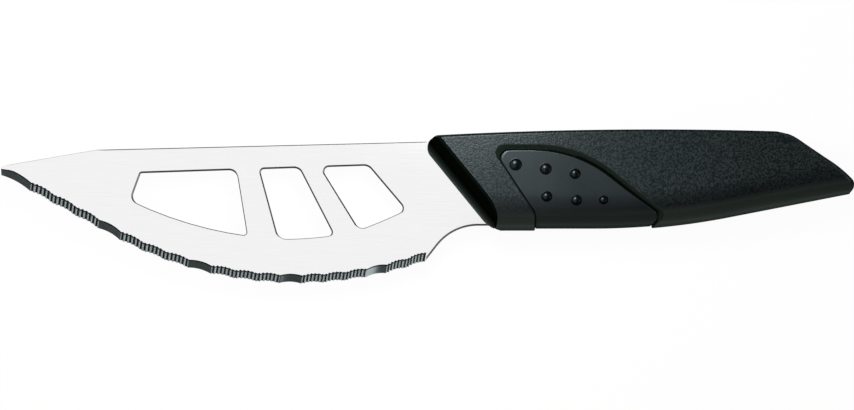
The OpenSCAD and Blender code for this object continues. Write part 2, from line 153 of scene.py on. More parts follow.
# Domes of one flank: distance behind the bolster, depth below the crest, diameter
DOMES = [
    (26.2, 10.5, 3.6),
    (35.2, 11.8, 3.4),
    (44.0, 13.3, 3.1),
    (35.5, 20.2, 3.2),
    (44.4, 21.4, 3.2),
    (52.5, 21.3, 2.7),
]

# Fineness of the meshes
ARC_STEPS = 12
TURN_STEPS = 800
PROBE_STEPS = 200
GRID = 0.9
GRID_WAY = 0.8
LINE_STEP = 0.45
SMOOTH_ANGLE = 32.0
STEEL_SMOOTH_ANGLE = 22.0
# Halvings of a search, and points compared at a time
HALVINGS = 60
BLOCK = 200
# A distance that counts as far away, two that count as none, and an area that counts as none
FAR = 200.0
TINY = 1e-6
CLOSE = 1e-7
SLIVER = 1e-9
# Share of the shorter side that a corner's rounding may take up, and the least chamfer that is built
CORNER_ROOM = 0.9
LEAST_SHARE = 0.008


# Plane geometry

def polar(radius, angle):
    a = math.radians(angle)
    return radius * np.array([math.cos(a), math.sin(a)])


def circle(angles):
    """Unit vectors at angles in radians."""
    return np.column_stack([np.cos(angles), np.sin(angles)])


def lattice(xs, ys):
    """Points of a grid, one a row."""
    x, y = np.meshgrid(xs, ys)
    return np.column_stack([x.ravel(), y.ravel()])


def with_column(rows, value):
    """Rows with one more value, the same for all."""
    return np.column_stack([rows, np.full(len(rows), value)])


def unit(v):
    return v / np.linalg.norm(v)


def crossing(p, p_angle, q, q_angle):
    """Where the line through p at one angle meets the line through q at another."""
    across = polar(1, q_angle + 90)
    way = polar(1, p_angle)
    return p + way * (np.dot(q - p, across) / np.dot(way, across))


def corner_arc(before, corner, after, wanted, steps=ARC_STEPS):
    """Points of the arc that rounds a corner."""
    to_before, to_after = unit(before - corner), unit(after - corner)
    half = math.acos(np.clip(np.dot(to_before, to_after), -1, 1)) / 2
    room = CORNER_ROOM * min(np.linalg.norm(before - corner), np.linalg.norm(after - corner))
    radius = min(wanted, room * math.tan(half))
    centre = corner + unit(to_before + to_after) * radius / math.sin(half)
    start = corner + to_before * radius / math.tan(half) - centre
    end = corner + to_after * radius / math.tan(half) - centre
    sweep = math.atan2(start[0] * end[1] - start[1] * end[0], np.dot(start, end))
    first = math.atan2(start[1], start[0])
    return centre + radius * circle(first + sweep * np.linspace(0, 1, steps + 1))


def rounded(corners, radii):
    """Closed outline through corners, each rounded with its own radius."""
    n = len(corners)
    parts = [
        corner_arc(corners[i - 1], corners[i], corners[(i + 1) % n], r) if r else corners[i]
        for i, r in enumerate(radii)
    ]
    return np.vstack(parts)


def lengths_along(line):
    return np.concatenate([[0], np.cumsum(np.linalg.norm(np.diff(line, axis=0), axis=1))])


def resample(line, step):
    """The same line with even steps. Columns past the first two are carried along."""
    along = lengths_along(line[:, :2])
    count = max(2, int(math.ceil(along[-1] / step)) + 1)
    at = np.linspace(0, along[-1], count)
    return np.stack([np.interp(at, along, column) for column in line.T], 1)


def refined(line, step):
    """The same corners with extra points between those that lie further apart than a step."""
    parts = []
    for a, b in zip(line, line[1:]):
        count = max(1, int(math.ceil(np.linalg.norm(b - a) / step)))
        parts.append(a + (b - a) * np.linspace(0, 1, count, endpoint=False)[:, None])
    return np.concatenate(parts + [line[-1:]])


def inside(points, loop):
    """Which points lie inside a closed loop."""
    x, y = points[:, 0], points[:, 1]
    found = np.zeros(len(points), bool)
    for (ax, ay), (bx, by) in zip(loop, np.roll(loop, -1, axis=0)):
        if ay != by:
            found ^= ((ay > y) != (by > y)) & (x < (bx - ax) * (y - ay) / (by - ay) + ax)
    return found


def clear_of(points, others, distance):
    """Which points keep a distance from all the others."""
    free = np.ones(len(points), bool)
    for block in np.array_split(others, max(1, len(others) // BLOCK)):
        gaps = np.linalg.norm(points[:, None] - block[None], axis=2)
        free &= gaps.min(1) > distance
    return free


def arris(room, radius):
    """Depth of a rounded edge at a distance from it."""
    short = np.clip(radius - room, 0, radius)
    return radius - np.sqrt(radius**2 - short**2)


# Handle's form

def back_y(x):
    return -((x - CREST_X) ** 2) / (2 * CROWN_RADIUS)


def back_angle(x):
    return -math.degrees(math.atan((x - CREST_X) / CROWN_RADIUS))


def rising_y(x):
    return -HANDLE_HEIGHT + (x - HANDLE_LENGTH + RISE_LENGTH) * math.tan(math.radians(RISE_ANGLE))


def belly_y(x):
    rise = rising_y(x)
    apart = np.abs(rise + HANDLE_HEIGHT)
    return np.maximum(rise, -HANDLE_HEIGHT) + np.maximum(BELLY_BLEND - apart, 0) ** 2 / (4 * BELLY_BLEND)


def half_thickness(x):
    share = np.maximum(0, (x - TAPER_START) / (HANDLE_LENGTH - TAPER_START))
    return HANDLE_THICKNESS / 2 - (HANDLE_THICKNESS - BUTT_THICKNESS) / 2 * share**2


def roundings(x):
    """Heights of the back's and the belly's rounding."""
    share = np.minimum(1, ROUND_ROOM * (back_y(x) - belly_y(x)) / (BACK_ROUND + BELLY_ROUND))
    return BACK_ROUND * share, BELLY_ROUND * share


def half_z(x, y):
    """Half the handle's thickness at a place in the side view."""
    back, belly = roundings(x)
    over_back = np.maximum(0, y - back_y(x) + back) / back
    over_belly = np.maximum(0, belly_y(x) + belly - y) / belly
    over = np.minimum(1, np.maximum(over_back, over_belly))
    return half_thickness(x) * (1 - over**SQUARENESS) ** (1 / SQUARENESS)


# Way round the handle: 0 on the belly's middle, over the flank, up to WAY on the back's middle
POWER = 2 / SQUARENESS
ease = np.linspace(0, 1, TURN_STEPS)
TURN = np.pi / 2 * ease**2 * (3 - 2 * ease)


def quarter_way(height):
    """Length along a rounding, for each angle of TURN."""
    rise = height * (1 - np.cos(TURN) ** POWER)
    out = HANDLE_THICKNESS / 2 * np.sin(TURN) ** POWER
    return lengths_along(np.stack([rise, out], 1))


BELLY_WAY = quarter_way(BELLY_ROUND)
BACK_WAY = quarter_way(BACK_ROUND)
FLANK_LOW = BELLY_WAY[-1]
FLANK_HIGH = FLANK_LOW + HANDLE_HEIGHT - BELLY_ROUND - BACK_ROUND
WAY = FLANK_HIGH + BACK_WAY[-1]


def handle_point(x, way, inset):
    """Place on the handle at a depth below its surface. A negative way is on the right side."""
    x, way, inset = np.broadcast_arrays(np.asarray(x, float), way, inset)
    side = np.where(way < 0, -1, 1)
    way = np.abs(way)
    back, belly = roundings(x)
    back, belly = np.maximum(LEAST_ROUND, back - inset), belly - inset
    half = half_thickness(x) - inset
    low_turn = np.interp(way, BELLY_WAY, TURN)
    high_turn = np.interp(WAY - way, BACK_WAY, TURN)
    low_y = belly_y(x) + inset + belly * (1 - np.cos(low_turn) ** POWER)
    high_y = back_y(x) - inset - back * (1 - np.cos(high_turn) ** POWER)
    share = np.clip((way - FLANK_LOW) / (FLANK_HIGH - FLANK_LOW), 0, 1)
    flank_y = (belly_y(x) + inset + belly) * (1 - share) + (back_y(x) - inset - back) * share
    y = np.where(way < FLANK_LOW, low_y, np.where(way > FLANK_HIGH, high_y, flank_y))
    low_z, high_z = np.sin(low_turn) ** POWER, np.sin(high_turn) ** POWER
    z = half * np.where(way < FLANK_LOW, low_z, np.where(way > FLANK_HIGH, high_z, 1))
    return np.stack([x, y, side * z], -1)


def way_round(x, y):
    """Way of a place in the side view, on the handle's surface."""
    back, belly = roundings(x)
    low, high = belly_y(x) + belly, back_y(x) - back
    low_turn = np.arccos(np.clip((low - y) / belly, 0, 1) ** (1 / POWER))
    high_turn = np.arccos(np.clip((y - high) / back, 0, 1) ** (1 / POWER))
    flank = FLANK_LOW + (FLANK_HIGH - FLANK_LOW) * (y - low) / (high - low)
    on_belly = np.interp(low_turn, TURN, BELLY_WAY)
    on_back = WAY - np.interp(high_turn, TURN, BACK_WAY)
    return np.where(y < low, on_belly, np.where(y > high, on_back, flank))


# Bolster's front line, its round front and its seam to the scales
NOSE_BACK = polar(1, NOSE_ANGLE)
NOSE_DOWN = polar(1, NOSE_ANGLE - 90)
NOSE_TOP_CENTRE = np.array([NOSE_TOP_RADIUS, back_y(NOSE_TOP_RADIUS) - NOSE_TOP_RADIUS])
NOSE_START = NOSE_TOP_CENTRE - NOSE_TOP_RADIUS * NOSE_BACK
NOSE_RADIUS = ((HANDLE_THICKNESS / 2) ** 2 + NOSE_SWEEP**2) / (2 * NOSE_SWEEP)
NOSE_RUN = HANDLE_HEIGHT / math.cos(math.radians(NOSE_ANGLE))
# Shares of the run between which the seam is worked out, its steps and the rounds that settle its depth
SEAM_SPAN = (-0.25, 1.12)
SEAM_STEPS = 300
SEAM_ROUNDS = 14


def nose_point(down, back):
    """Places in the side view at distances down the front line and behind it."""
    return NOSE_START + np.multiply.outer(down, NOSE_DOWN) + np.multiply.outer(back, NOSE_BACK)


def front_depth(z):
    """Depth of the round front at a distance from the mid-plane."""
    return NOSE_RADIUS - np.sqrt(NOSE_RADIUS**2 - np.minimum(z, NOSE_RADIUS) ** 2)


SEAM_DOWN = np.linspace(*SEAM_SPAN, SEAM_STEPS) * NOSE_RUN
SEAM_DEPTH = np.full(SEAM_STEPS, NOSE_SWEEP)
for _ in range(SEAM_ROUNDS):
    place = nose_point(SEAM_DOWN, SEAM_DEPTH)
    SEAM_DEPTH = (SEAM_DEPTH + front_depth(half_z(place[:, 0], place[:, 1]))) / 2
SEAM_DEPTH += NOSE_RIM


def behind_seam(x, y):
    """Distance behind the seam between bolster and scales."""
    offset = np.stack([x, y], -1) - NOSE_START
    return offset @ NOSE_BACK - np.interp(offset @ NOSE_DOWN, SEAM_DOWN, SEAM_DEPTH)


def side_outline():
    """Side view's slanting front and butt with their rounded corners, clear of back and belly."""
    foot = np.array([HANDLE_LENGTH, rising_y(HANDLE_LENGTH) - LIP])
    before, after = foot - polar(FAR, -BUTT_END_ANGLE), foot - polar(FAR, RISE_ANGLE)
    probe = corner_arc(before, foot, after, BUTT_TIP_RADIUS, PROBE_STEPS)
    shift = HANDLE_LENGTH - probe[:, 0].max()
    low = foot + polar(shift / math.cos(math.radians(RISE_ANGLE)), RISE_ANGLE)
    middle = crossing(low, -BUTT_END_ANGLE, np.array([HANDLE_LENGTH - BUTT_BEND, 0]), 90)
    high_x = crossing(middle, -BUTT_ANGLE, np.array([0, back_y(HANDLE_LENGTH)]), 0)[0]
    above = np.array([high_x, back_y(high_x) + LIP / 2])
    high = crossing(middle, -BUTT_ANGLE, above, back_angle(high_x))
    front_top = np.array([0, back_y(0) + LIP / 2])
    under = np.array([0, -HANDLE_HEIGHT - LIP])
    corners = [
        crossing(NOSE_START, NOSE_ANGLE - 90, front_top, back_angle(0)),
        crossing(front_top, back_angle(0), high, back_angle(high_x)),
        high,
        middle,
        low,
        crossing(low, RISE_ANGLE, under, 0),
        crossing(NOSE_START, NOSE_ANGLE - 90, under, 0),
    ]
    radii = [
        NOSE_TOP_RADIUS, 0, BUTT_TOP_RADIUS, BUTT_BEND_RADIUS, BUTT_TIP_RADIUS, 0, NOSE_CHIN_RADIUS
    ]
    return rounded(corners, radii)


OUTLINE = side_outline()
OUTLINE_WAY = np.roll(OUTLINE, -1, axis=0) - OUTLINE
OUTLINE_WAY = OUTLINE_WAY / np.linalg.norm(OUTLINE_WAY, axis=1)[:, None]


def outline_room(x, y):
    """Distance inside the side view's outline, which is convex and runs clockwise."""
    room = np.full(np.shape(x), np.inf)
    for start, way in zip(OUTLINE, OUTLINE_WAY):
        room = np.minimum(room, (x - start[0]) * way[1] - (y - start[1]) * way[0])
    return room


def bisect(span, count, positive_at_end):
    """Roots, as many as count, in a span at whose end a function is positive."""
    low, high = np.full(count, span[0]), np.full(count, span[1])
    for _ in range(HALVINGS):
        middle = (low + high) / 2
        up = positive_at_end(middle)
        high = np.where(up, middle, high)
        low = np.where(up, low, middle)
    return (low + high) / 2


# Where along the handle a scale's ends are sought
FRONT_SEARCH = (-14.0, 45.0)
BUTT_SEARCH = (HANDLE_LENGTH + 8.0, 90.0)


def scale_ends(way, search):
    """Where a scale ends at each way round, sought along the handle from outside it."""
    def within(along):
        x, y, _ = handle_point(along, way, 0.0).T
        return np.minimum(outline_room(x, y), behind_seam(x, y)) > 0
    return bisect(search, len(way), within)


# Depth below the belly at which the saddle's outline closes, and the fineness of that outline
SADDLE_UNDER = 3.0
SADDLE_ARC_STEPS = 24
SADDLE_STEP = 0.1
UNDER_STEPS = 500
UNDER_EASE = 6
# Saddle's outline: each side is a place, an angle, the radius to the next and its share of the bevel
saddle_front_angle = math.degrees(
    math.atan2(HANDLE_HEIGHT - SADDLE_TOP - SADDLE_FOOT_HEIGHT, SADDLE_FRONT - SADDLE_FOOT)
)
saddle_heel_y = -SADDLE_TOP - (SADDLE_HEEL - SADDLE_SHOULDER) * math.tan(math.radians(SADDLE_SLOPE))
SADDLE_SIDES = [
    ((SADDLE_FRONT, -SADDLE_TOP), 0.0, SADDLE_TURN_RADIUS, FRONT_BEVEL_SHARE),
    ((SADDLE_SHOULDER, -SADDLE_TOP), -SADDLE_SLOPE, SADDLE_HEEL_RADIUS, 1.0),
    ((SADDLE_HEEL, saddle_heel_y), SADDLE_HEEL_ANGLE, 0.0, 0.0),
    ((0.0, -HANDLE_HEIGHT - SADDLE_UNDER), 180.0, 0.0, 0.0),
    ((SADDLE_FOOT, 0.0), 90.0, SADDLE_FOOT_RADIUS, 0.0),
    ((SADDLE_FRONT, -SADDLE_TOP), saddle_front_angle, SADDLE_CORNER_RADIUS, 0.0),
]


def saddle_line(grow, bevel_grow):
    """Saddle's outline from the belly up the front, along the top and down the rear to the belly,
    as places in the side view with the share of the bevel. Bevelled sides have their own growth."""
    sides = [
        (np.array(place) + polar(grow + (bevel_grow - grow) * share, angle + 90), angle)
        for place, angle, _, share in SADDLE_SIDES
    ]
    after = np.roll(np.arange(len(sides)), -1)
    corners = [crossing(*side, *sides[after[i]]) for i, side in enumerate(sides)]
    parts = [np.append(corners[3], 0.0)]
    for i in (4, 5, 0, 1):
        radius, share = SADDLE_SIDES[i][2:]
        bend = corner_arc(corners[i - 1], corners[i], corners[after[i]], radius, SADDLE_ARC_STEPS)
        parts.append(np.column_stack([bend, np.linspace(share, SADDLE_SIDES[after[i]][3], len(bend))]))
    parts.append(np.append(corners[2], 0.0))
    return np.vstack(parts)


def surface_line(grow, bevel_grow, lowest_way):
    """The same line as x, way round and share, cut off on the belly and evenly stepped."""
    line = saddle_line(grow, bevel_grow)
    line = np.concatenate([line[:1], refined(line[1:-1], SADDLE_STEP), line[-1:]])

    def end_piece(inner, outer):
        """Points from the belly up to inner, close together where the surface turns under."""
        def under(share):
            x, y, _ = (inner + (outer - inner) * share[:, None]).T
            return y <= belly_y(x)

        foot = inner + (outer - inner) * bisect((0.0, 1.0), 1, under)
        return foot + (inner - foot) * (np.linspace(0, 1, UNDER_STEPS) ** UNDER_EASE)[:, None]

    body = line[1:-1]
    above = body[:, 1] > belly_y(body[:, 0]) + TINY
    first, last = np.argmax(above), len(above) - 1 - np.argmax(above[::-1])
    before = body[first - 1] if first else line[0]
    after = body[last + 1] if last + 1 < len(body) else line[-1]
    line = np.concatenate([
        end_piece(body[first], before)[:-1],
        body[first:last + 1],
        end_piece(body[last], after)[::-1][1:],
    ])
    way = way_round(line[:, 0], line[:, 1])
    line = np.column_stack([line[:, 0], way, line[:, 2]])
    line = line[line[:, 1] > lowest_way]
    ends = line[[0, -1]].copy()
    ends[:, 1] = lowest_way
    return resample(np.concatenate([ends[:1], line, ends[1:]]), LINE_STEP)


# Making pieces

MOVE_EDGE_LOW = (
    -SPINE_INSET - (BLADE_LENGTH - DEEPEST_BEHIND) * math.tan(math.radians(SPINE_ANGLE)) - BLADE_HEIGHT
)
MOVE = np.array([(BLADE_LENGTH - HANDLE_LENGTH) / 2, -MOVE_EDGE_LOW / 2, HANDLE_THICKNESS / 2])


def add_object(name, data):
    """Object with its data, linked into the scene."""
    made = bpy.data.objects.new(name, data)
    bpy.context.scene.collection.objects.link(made)
    return made


def sharpen_borders(mesh):
    """Keeps the shading apart where two materials meet."""
    kinds = {}
    for face in mesh.polygons:
        for key in face.edge_keys:
            kinds.setdefault(key, set()).add(face.material_index)
    for edge in mesh.edges:
        if len(kinds[edge.key]) > 1:
            edge.use_edge_sharp = True


def new_piece(name, node, slot, materials, points, faces, marks=None, smooth_angle=SMOOTH_ANGLE):
    """Piece that stands for a node, from places in millimetres. Its marks number each face's material."""
    used = sorted({int(i) for face in faces for i in face})
    number = np.full(len(points), -1)
    number[used] = np.arange(len(used))
    mesh = bpy.data.meshes.new(name)
    places = [tuple(p) for p in (points[used] + MOVE) * MM]
    mesh.from_pydata(places, [], [[int(number[i]) for i in face] for face in faces])
    for material in materials:
        mesh.materials.append(material)
    if marks is not None:
        mesh.polygons.foreach_set("material_index", np.asarray(marks, np.int32))
    mesh.polygons.foreach_set("use_smooth", np.ones(len(mesh.polygons), bool))
    mesh.set_sharp_from_angle(angle=math.radians(smooth_angle))
    if smooth_angle == STEEL_SMOOTH_ANGLE:
        sharpen_borders(mesh)
    piece = add_object(name, mesh)
    even = piece.modifiers.new("even_shading", "WEIGHTED_NORMAL")
    even.keep_sharp = True
    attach(piece, "root")
    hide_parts(node)


class Points:
    """Growing list of points with their values, in which chains of point numbers are kept."""

    def __init__(self):
        self.rows = []
        self.count = 0
        self.chains = []

    def add(self, rows, chain=True):
        rows = np.asarray(rows, float)
        numbers = np.arange(self.count, self.count + len(rows))
        self.rows.append(rows)
        self.count += len(rows)
        if chain:
            self.chains.append(numbers)
        return numbers

    def add_loop(self, rows):
        """Adds a closed chain."""
        numbers = self.add(rows)
        self.chains[-1] = np.append(numbers, numbers[0])
        return numbers

    def all(self):
        return np.concatenate(self.rows)

    def triangles(self, keep):
        """All rows, Delaunay triangles over them where keep says so, with the chains as edges, and for each
        row the first one at its place."""
        rows = self.all()
        places = rows[:, :2]
        edges = [(int(a), int(b)) for chain in self.chains for a, b in zip(chain, chain[1:]) if a != b]
        found = delaunay_2d_cdt([Vector(p) for p in places], edges, [], 0, CLOSE)
        faces, sources = np.array(found[2]), found[3]
        crossed = [tuple(v) for v, s in zip(found[0], sources) if not s]
        if crossed:
            raise RuntimeError(f"chains of points cross each other at {crossed[:5]}")
        first = np.array([min(s) for s in sources])
        same = np.arange(len(rows))
        for s in sources:
            same[list(s)] = min(s)
        faces = first[faces]
        a, b, c = (places[faces[:, k]] for k in range(3))
        area = (b[:, 0] - a[:, 0]) * (c[:, 1] - a[:, 1]) - (b[:, 1] - a[:, 1]) * (c[:, 0] - a[:, 0])
        faces[area < 0] = faces[area < 0][:, ::-1]
        return rows, faces[(np.abs(area) > SLIVER) & keep((a + b + c) / 3)], same


def quads(a, b, closed=True):
    """Faces between two chains of points."""
    count = len(a)
    after = [(i + 1) % count for i in range(count if closed else count - 1)]
    return [[a[i], a[j], b[j], b[i]] for i, j in enumerate(after)]


# Scales

# Kinds of surface on a scale, in the order of its materials; the last is near-black painted shade on the
# bevel's deep foot and on the rounded seam next to the bolster
SKIN, BEVEL, PAINTED_SHADE_IN_CREASES = range(3)
# Lowest and highest way of the skin, next to the middles of belly and back
WAY_LOW = 0.05
WAY_HIGH = WAY - WAY_LOW
# Ways between which the back's tight rounding lies, and the mesh steps there
EDGE_LOW, EDGE_HIGH = FLANK_HIGH - 0.8, FLANK_HIGH + 3.5
EDGE_ROWS = 20
EDGE_GRID = 1.2
# Mesh steps along the ends and the belly
END_STEP = 0.5
BELLY_STEP = 0.8
# Distances that points in the skin keep: from the belly's corners, from lines, from lines in the back's
# rounding, from that rounding, and from belly and back
KNOT_ROOM = 0.3
GRID_ROOM = 0.45
BAND_ROOM = 0.15
BAND_EDGE = 0.2
GRID_INSET = 0.6
# Share of the half thickness that a rounded end may take up, and the ends' inward normals along X
ARRIS_ROOM = 0.45
FRONT_LEAN = 0.77
BUTT_LEAN = -0.61
# Least depths at which a face counts as bevel and as rounded end
BEVEL_START = 0.02
ARRIS_START = 0.002
# Distances from an end at which its rounding is stepped, as shares of its radius
ARRIS_STEPS = np.array([0.04, 0.13, 0.29, 0.5, 0.75, 1.0, 1.2])
# Depth below which the bevel's foot, in its groove's shadow, is painted near-black as shade
FOOT_DEPTH = 0.62 * BEVEL_DEPTH
SADDLE_BED = SADDLE_RECESS + SADDLE_THICKNESS + FIT_GAP
# Levels of the saddle's recess from outside in to its bed: growth and depth, on plain sides and on
# bevelled sides
RECESS_LEVELS = [
    (0.50, 0.00, BEVEL_WIDTH + 0.40, 0.00),
    (0.36, 0.00, BEVEL_WIDTH + 0.18, 0.01),
    (0.22, 0.02, BEVEL_WIDTH - 0.02, 0.08),
    (0.12, 0.07, BEVEL_WIDTH - 0.28, 0.24),
    (0.08, 0.11, 0.72, FOOT_DEPTH),
    (0.05, 0.15, 0.12, BEVEL_DEPTH - 0.08),
    (0.00, 0.25, 0.00, BEVEL_DEPTH),
    (-0.03, SADDLE_BED, -0.03, SADDLE_BED),
]


def end_chains(points, ways, front, butt):
    """Adds a scale's two ends and the lines of their rounding. Gives the numbers of the ends' points."""
    ends = [(front, SEAM_ARRIS, FRONT_LEAN), (butt, BUTT_ARRIS, BUTT_LEAN)]
    halves = [np.abs(handle_point(x, ways, 0.0)[:, 2]) for x in (front, butt)]
    radii = [np.minimum(largest, ARRIS_ROOM * half) for (_, largest, _), half in zip(ends, halves)]
    chains = [
        points.add(np.column_stack([x, ways, arris(0, radius)])) for (x, _, _), radius in zip(ends, radii)
    ]
    for (x, largest, lean), radius in zip(ends, radii):
        wide = radius > largest / 2
        for room in ARRIS_STEPS:
            rows = np.column_stack([x + room * radius / lean, ways, arris(room * radius, radius)])
            points.add(rows[wide])
    return chains


def recess_chains(points, front_x, butt_x):
    """Adds the levels of the saddle's recess, and the belly on which they end. Gives the levels' outlines
    and the numbers of the belly's points."""
    loops = []
    for grow, depth, bevel_grow, bevel_depth in RECESS_LEVELS:
        line = surface_line(grow, bevel_grow, WAY_LOW)
        line[:, 2] = depth + (bevel_depth - depth) * line[:, 2]
        loops.append(line)
    chains = [points.add(line[1:-1], chain=False) for line in loops]
    knots = [(line[end, 0], line[end, 2]) for line in loops for end in (0, -1)]
    knots = np.array(sorted(knots + [(front_x, 0.0), (butt_x, 0.0)]))
    extra = np.arange(front_x + BELLY_STEP, butt_x - BELLY_STEP, BELLY_STEP)
    extra = extra[np.abs(extra[:, None] - knots[None, :, 0]).min(1) > KNOT_ROOM]
    belly_x = np.sort(np.concatenate([knots[1:-1, 0], extra]))
    rows = np.column_stack([with_column(belly_x, WAY_LOW), np.interp(belly_x, *knots.T)])
    belly = points.add(rows, chain=False)
    for line, chain in zip(loops, chains):
        ends = [belly[np.argmin(np.abs(belly_x - x))] for x in line[[0, -1], 0]]
        points.chains.append(np.concatenate([ends[:1], chain, ends[1:]]))
    return [line[:, :2] for line in loops], belly


def skin_grid(fixed, outline, loops):
    """Points over a scale's skin and the saddle's bed, closer together in the back's rounding."""
    grid_ways = np.arange(WAY_LOW + GRID_INSET, WAY_HIGH - GRID_INSET, GRID_WAY)
    grid = lattice(np.arange(0, HANDLE_LENGTH, GRID), grid_ways)
    grid = grid[(grid[:, 1] < EDGE_LOW - BAND_EDGE) | (grid[:, 1] > EDGE_HIGH + BAND_EDGE)]
    grid = grid[clear_of(grid, fixed, GRID_ROOM)]
    band = lattice(np.arange(0, HANDLE_LENGTH, EDGE_GRID), np.linspace(EDGE_LOW, EDGE_HIGH, EDGE_ROWS))
    grid = np.concatenate([grid, band[clear_of(band, fixed, BAND_ROOM)]])
    grid = grid[inside(grid, outline)]
    in_recess, on_bed = inside(grid, loops[0]), inside(grid, loops[-1])
    rows = np.column_stack([grid, np.where(on_bed, SADDLE_BED, 0.0)])
    return rows[~in_recess | on_bed]


def scale_mesh():
    """Left scale: its skin with the saddle's recess, its end walls and its flat on the mid-plane. Also each
    face's kind of surface."""
    points = Points()
    ways = np.concatenate([
        np.linspace(WAY_LOW, EDGE_LOW, int((EDGE_LOW - WAY_LOW) / END_STEP), endpoint=False),
        np.linspace(EDGE_LOW, EDGE_HIGH, EDGE_ROWS, endpoint=False),
        np.linspace(EDGE_HIGH, WAY_HIGH, int((WAY_HIGH - EDGE_HIGH) / END_STEP)),
    ])
    front, butt = scale_ends(ways, FRONT_SEARCH), scale_ends(ways, BUTT_SEARCH)
    front_chain, butt_chain = end_chains(points, ways, front, butt)
    loops, belly = recess_chains(points, front[0], butt[0])
    back_x = np.linspace(front[-1], butt[-1], int((butt[-1] - front[-1]) / GRID))[1:-1]
    back = points.add(with_column(with_column(back_x, WAY_HIGH), 0.0), chain=False)
    border = np.concatenate([front_chain, back, butt_chain[::-1], belly[::-1]])
    points.chains.append(np.append(border, border[0]))
    fixed = points.all()[:, :2]
    outline = fixed[border]
    points.add(skin_grid(fixed, outline, loops), chain=False)

    rows, faces, same = points.triangles(lambda middle: inside(middle, outline))
    skin = handle_point(*rows.T)
    floor = FIT_GAP / 2
    skin[:, 2] = np.maximum(skin[:, 2], floor)
    skin[np.concatenate([belly, back]), 2] = floor
    depths = rows[faces, 2]
    on_bevel = inside(rows[faces, :2].mean(1), loops[1]) & (depths.max(1) > BEVEL_START)
    in_painted_shade = on_bevel & (depths.mean(1) > FOOT_DEPTH)
    on_seam = (depths.max(1) > ARRIS_START) & (behind_seam(*skin[faces].mean(1)[:, :2].T) < SEAM_ARRIS)
    points, closed = close_downwards(skin, faces, same[border], floor)
    marks = np.full(len(closed), SKIN)
    marks[:len(faces)][on_bevel] = BEVEL
    # Painted shade: the bevel's deep foot and the seam's rounded edge get the near-black material
    marks[:len(faces)][in_painted_shade | on_seam] = PAINTED_SHADE_IN_CREASES
    return points, closed, marks


def close_downwards(skin, faces, border, floor):
    """Skin with walls from its border down to a floor level, and that floor."""
    base = np.arange(len(border)) + len(skin)
    low = skin[border].copy()
    low[:, 2] = floor
    on_floor = np.abs(skin[border, 2] - floor) < TINY
    base = np.where(on_floor, border, base)
    result = [list(f) for f in faces]
    for wall in quads(border, base):
        wall = [v for k, v in enumerate(wall) if v != wall[k - 1]]
        if len(set(wall)) > 2:
            result.append(wall)
    result.append(list(base[::-1]))
    return np.concatenate([skin, low]), result


def mirrored(points, faces):
    """The same piece on the other side of the mid-plane."""
    return points * np.array([1, 1, -1]), [face[::-1] for face in faces]


# Saddle

# Distances in from the rim at which its rounding is stepped
SADDLE_ROOMS = (0.0, 0.02, 0.06, 0.13, 0.22, 0.35, 0.5)
# A dome's mesh: its sides, its rings as shares of its radius, and the share of its width that shines
DOME_SIDES = 48
DOME_RINGS = (1.25, 1.1, 1.03, 0.99, 0.94, 0.86, 0.75, 0.6, 0.45, 0.3, 0.15)
DOME_REACH = 0.54
# Stretch of the handle that the saddle's mesh covers, and the distance that its points keep from lines
SADDLE_SPAN = (15.0, 75.0)
SADDLE_GRID_ROOM = 0.4


def dome_height(distance, width):
    """Height of a dome at a distance from its middle."""
    radius = (width**2 / 4 + DOME_HEIGHT**2) / (2 * DOME_HEIGHT)
    return np.sqrt(radius**2 - np.minimum(distance, width / 2) ** 2) - radius + DOME_HEIGHT


def saddle_mesh():
    """Soft saddle: outer skin with domes, inner skin and rim. Also which faces are domes."""
    points = Points()
    loops = []
    for room in SADDLE_ROOMS:
        left = surface_line(-FIT_GAP - room, -FIT_GAP - room, 0.0)
        right = left[::-1][1:-1] * np.array([1, -1, 1])
        loop = np.concatenate([left, right])
        loop[:, 2] = SADDLE_RECESS + arris(room, SADDLE_ARRIS)
        loops.append(points.add_loop(loop))
    border = loops[0]
    around = circle(np.linspace(0, 2 * np.pi, DOME_SIDES, endpoint=False))
    centres = []
    for x, depth, width in DOMES:
        for side in (1, -1):
            centres.append((x, side * way_round(np.array(x), np.array(-depth)), width))
            for share in DOME_RINGS:
                distance = share * width / 2
                ring = np.array([x, -depth]) + distance * around
                ring[:, 1] = side * way_round(ring[:, 0], ring[:, 1])
                points.add_loop(with_column(ring, SADDLE_RECESS - dome_height(distance, width)))
            points.add([(x, centres[-1][1], SADDLE_RECESS - DOME_HEIGHT)], chain=False)

    fixed = points.all()
    grid = lattice(np.arange(*SADDLE_SPAN, GRID), np.arange(-WAY, WAY, GRID_WAY))
    grid = grid[inside(grid, fixed[loops[-1], :2])]
    grid = grid[clear_of(grid, fixed[:, :2], SADDLE_GRID_ROOM)]
    points.add(with_column(grid, SADDLE_RECESS), chain=False)

    rows, faces, same = points.triangles(lambda middle: inside(middle, fixed[border, :2]))
    outer = handle_point(*rows.T)
    inner = handle_point(rows[:, 0], rows[:, 1], SADDLE_RECESS + SADDLE_THICKNESS)
    count = len(rows)
    border = same[border]
    rim = quads(border, border + count)
    middles = rows[faces, :2].mean(1)
    on_dome = np.zeros(len(faces), bool)
    for x, way, width in centres:
        on_dome |= np.hypot(middles[:, 0] - x, middles[:, 1] - way) < DOME_REACH * width
    all_faces = [list(f) for f in faces] + [list(f[::-1] + count) for f in faces] + rim
    marks = np.concatenate([on_dome.astype(int), np.zeros(len(faces) + len(rim), int)])
    return np.concatenate([outer, inner]), all_faces, marks


# Bolster

# Shares of the front line's run between which the nose is built, and its steps: down, round and at its edge
NOSE_SPAN = (-0.12, 1.05)
NOSE_ROWS = 260
FRONT_STEPS = 40
BEND_STEPS = 8
# Depths between which the front's cut by the outline is sought
CUT_SEARCH = (-6.0, 14.0)
# Least half width and least rim that a row needs, and the share of the rim that its rounded edge may take
LEAST_EDGE = 0.15
LEAST_RIM = 0.12
RIM_ROOM = 0.8


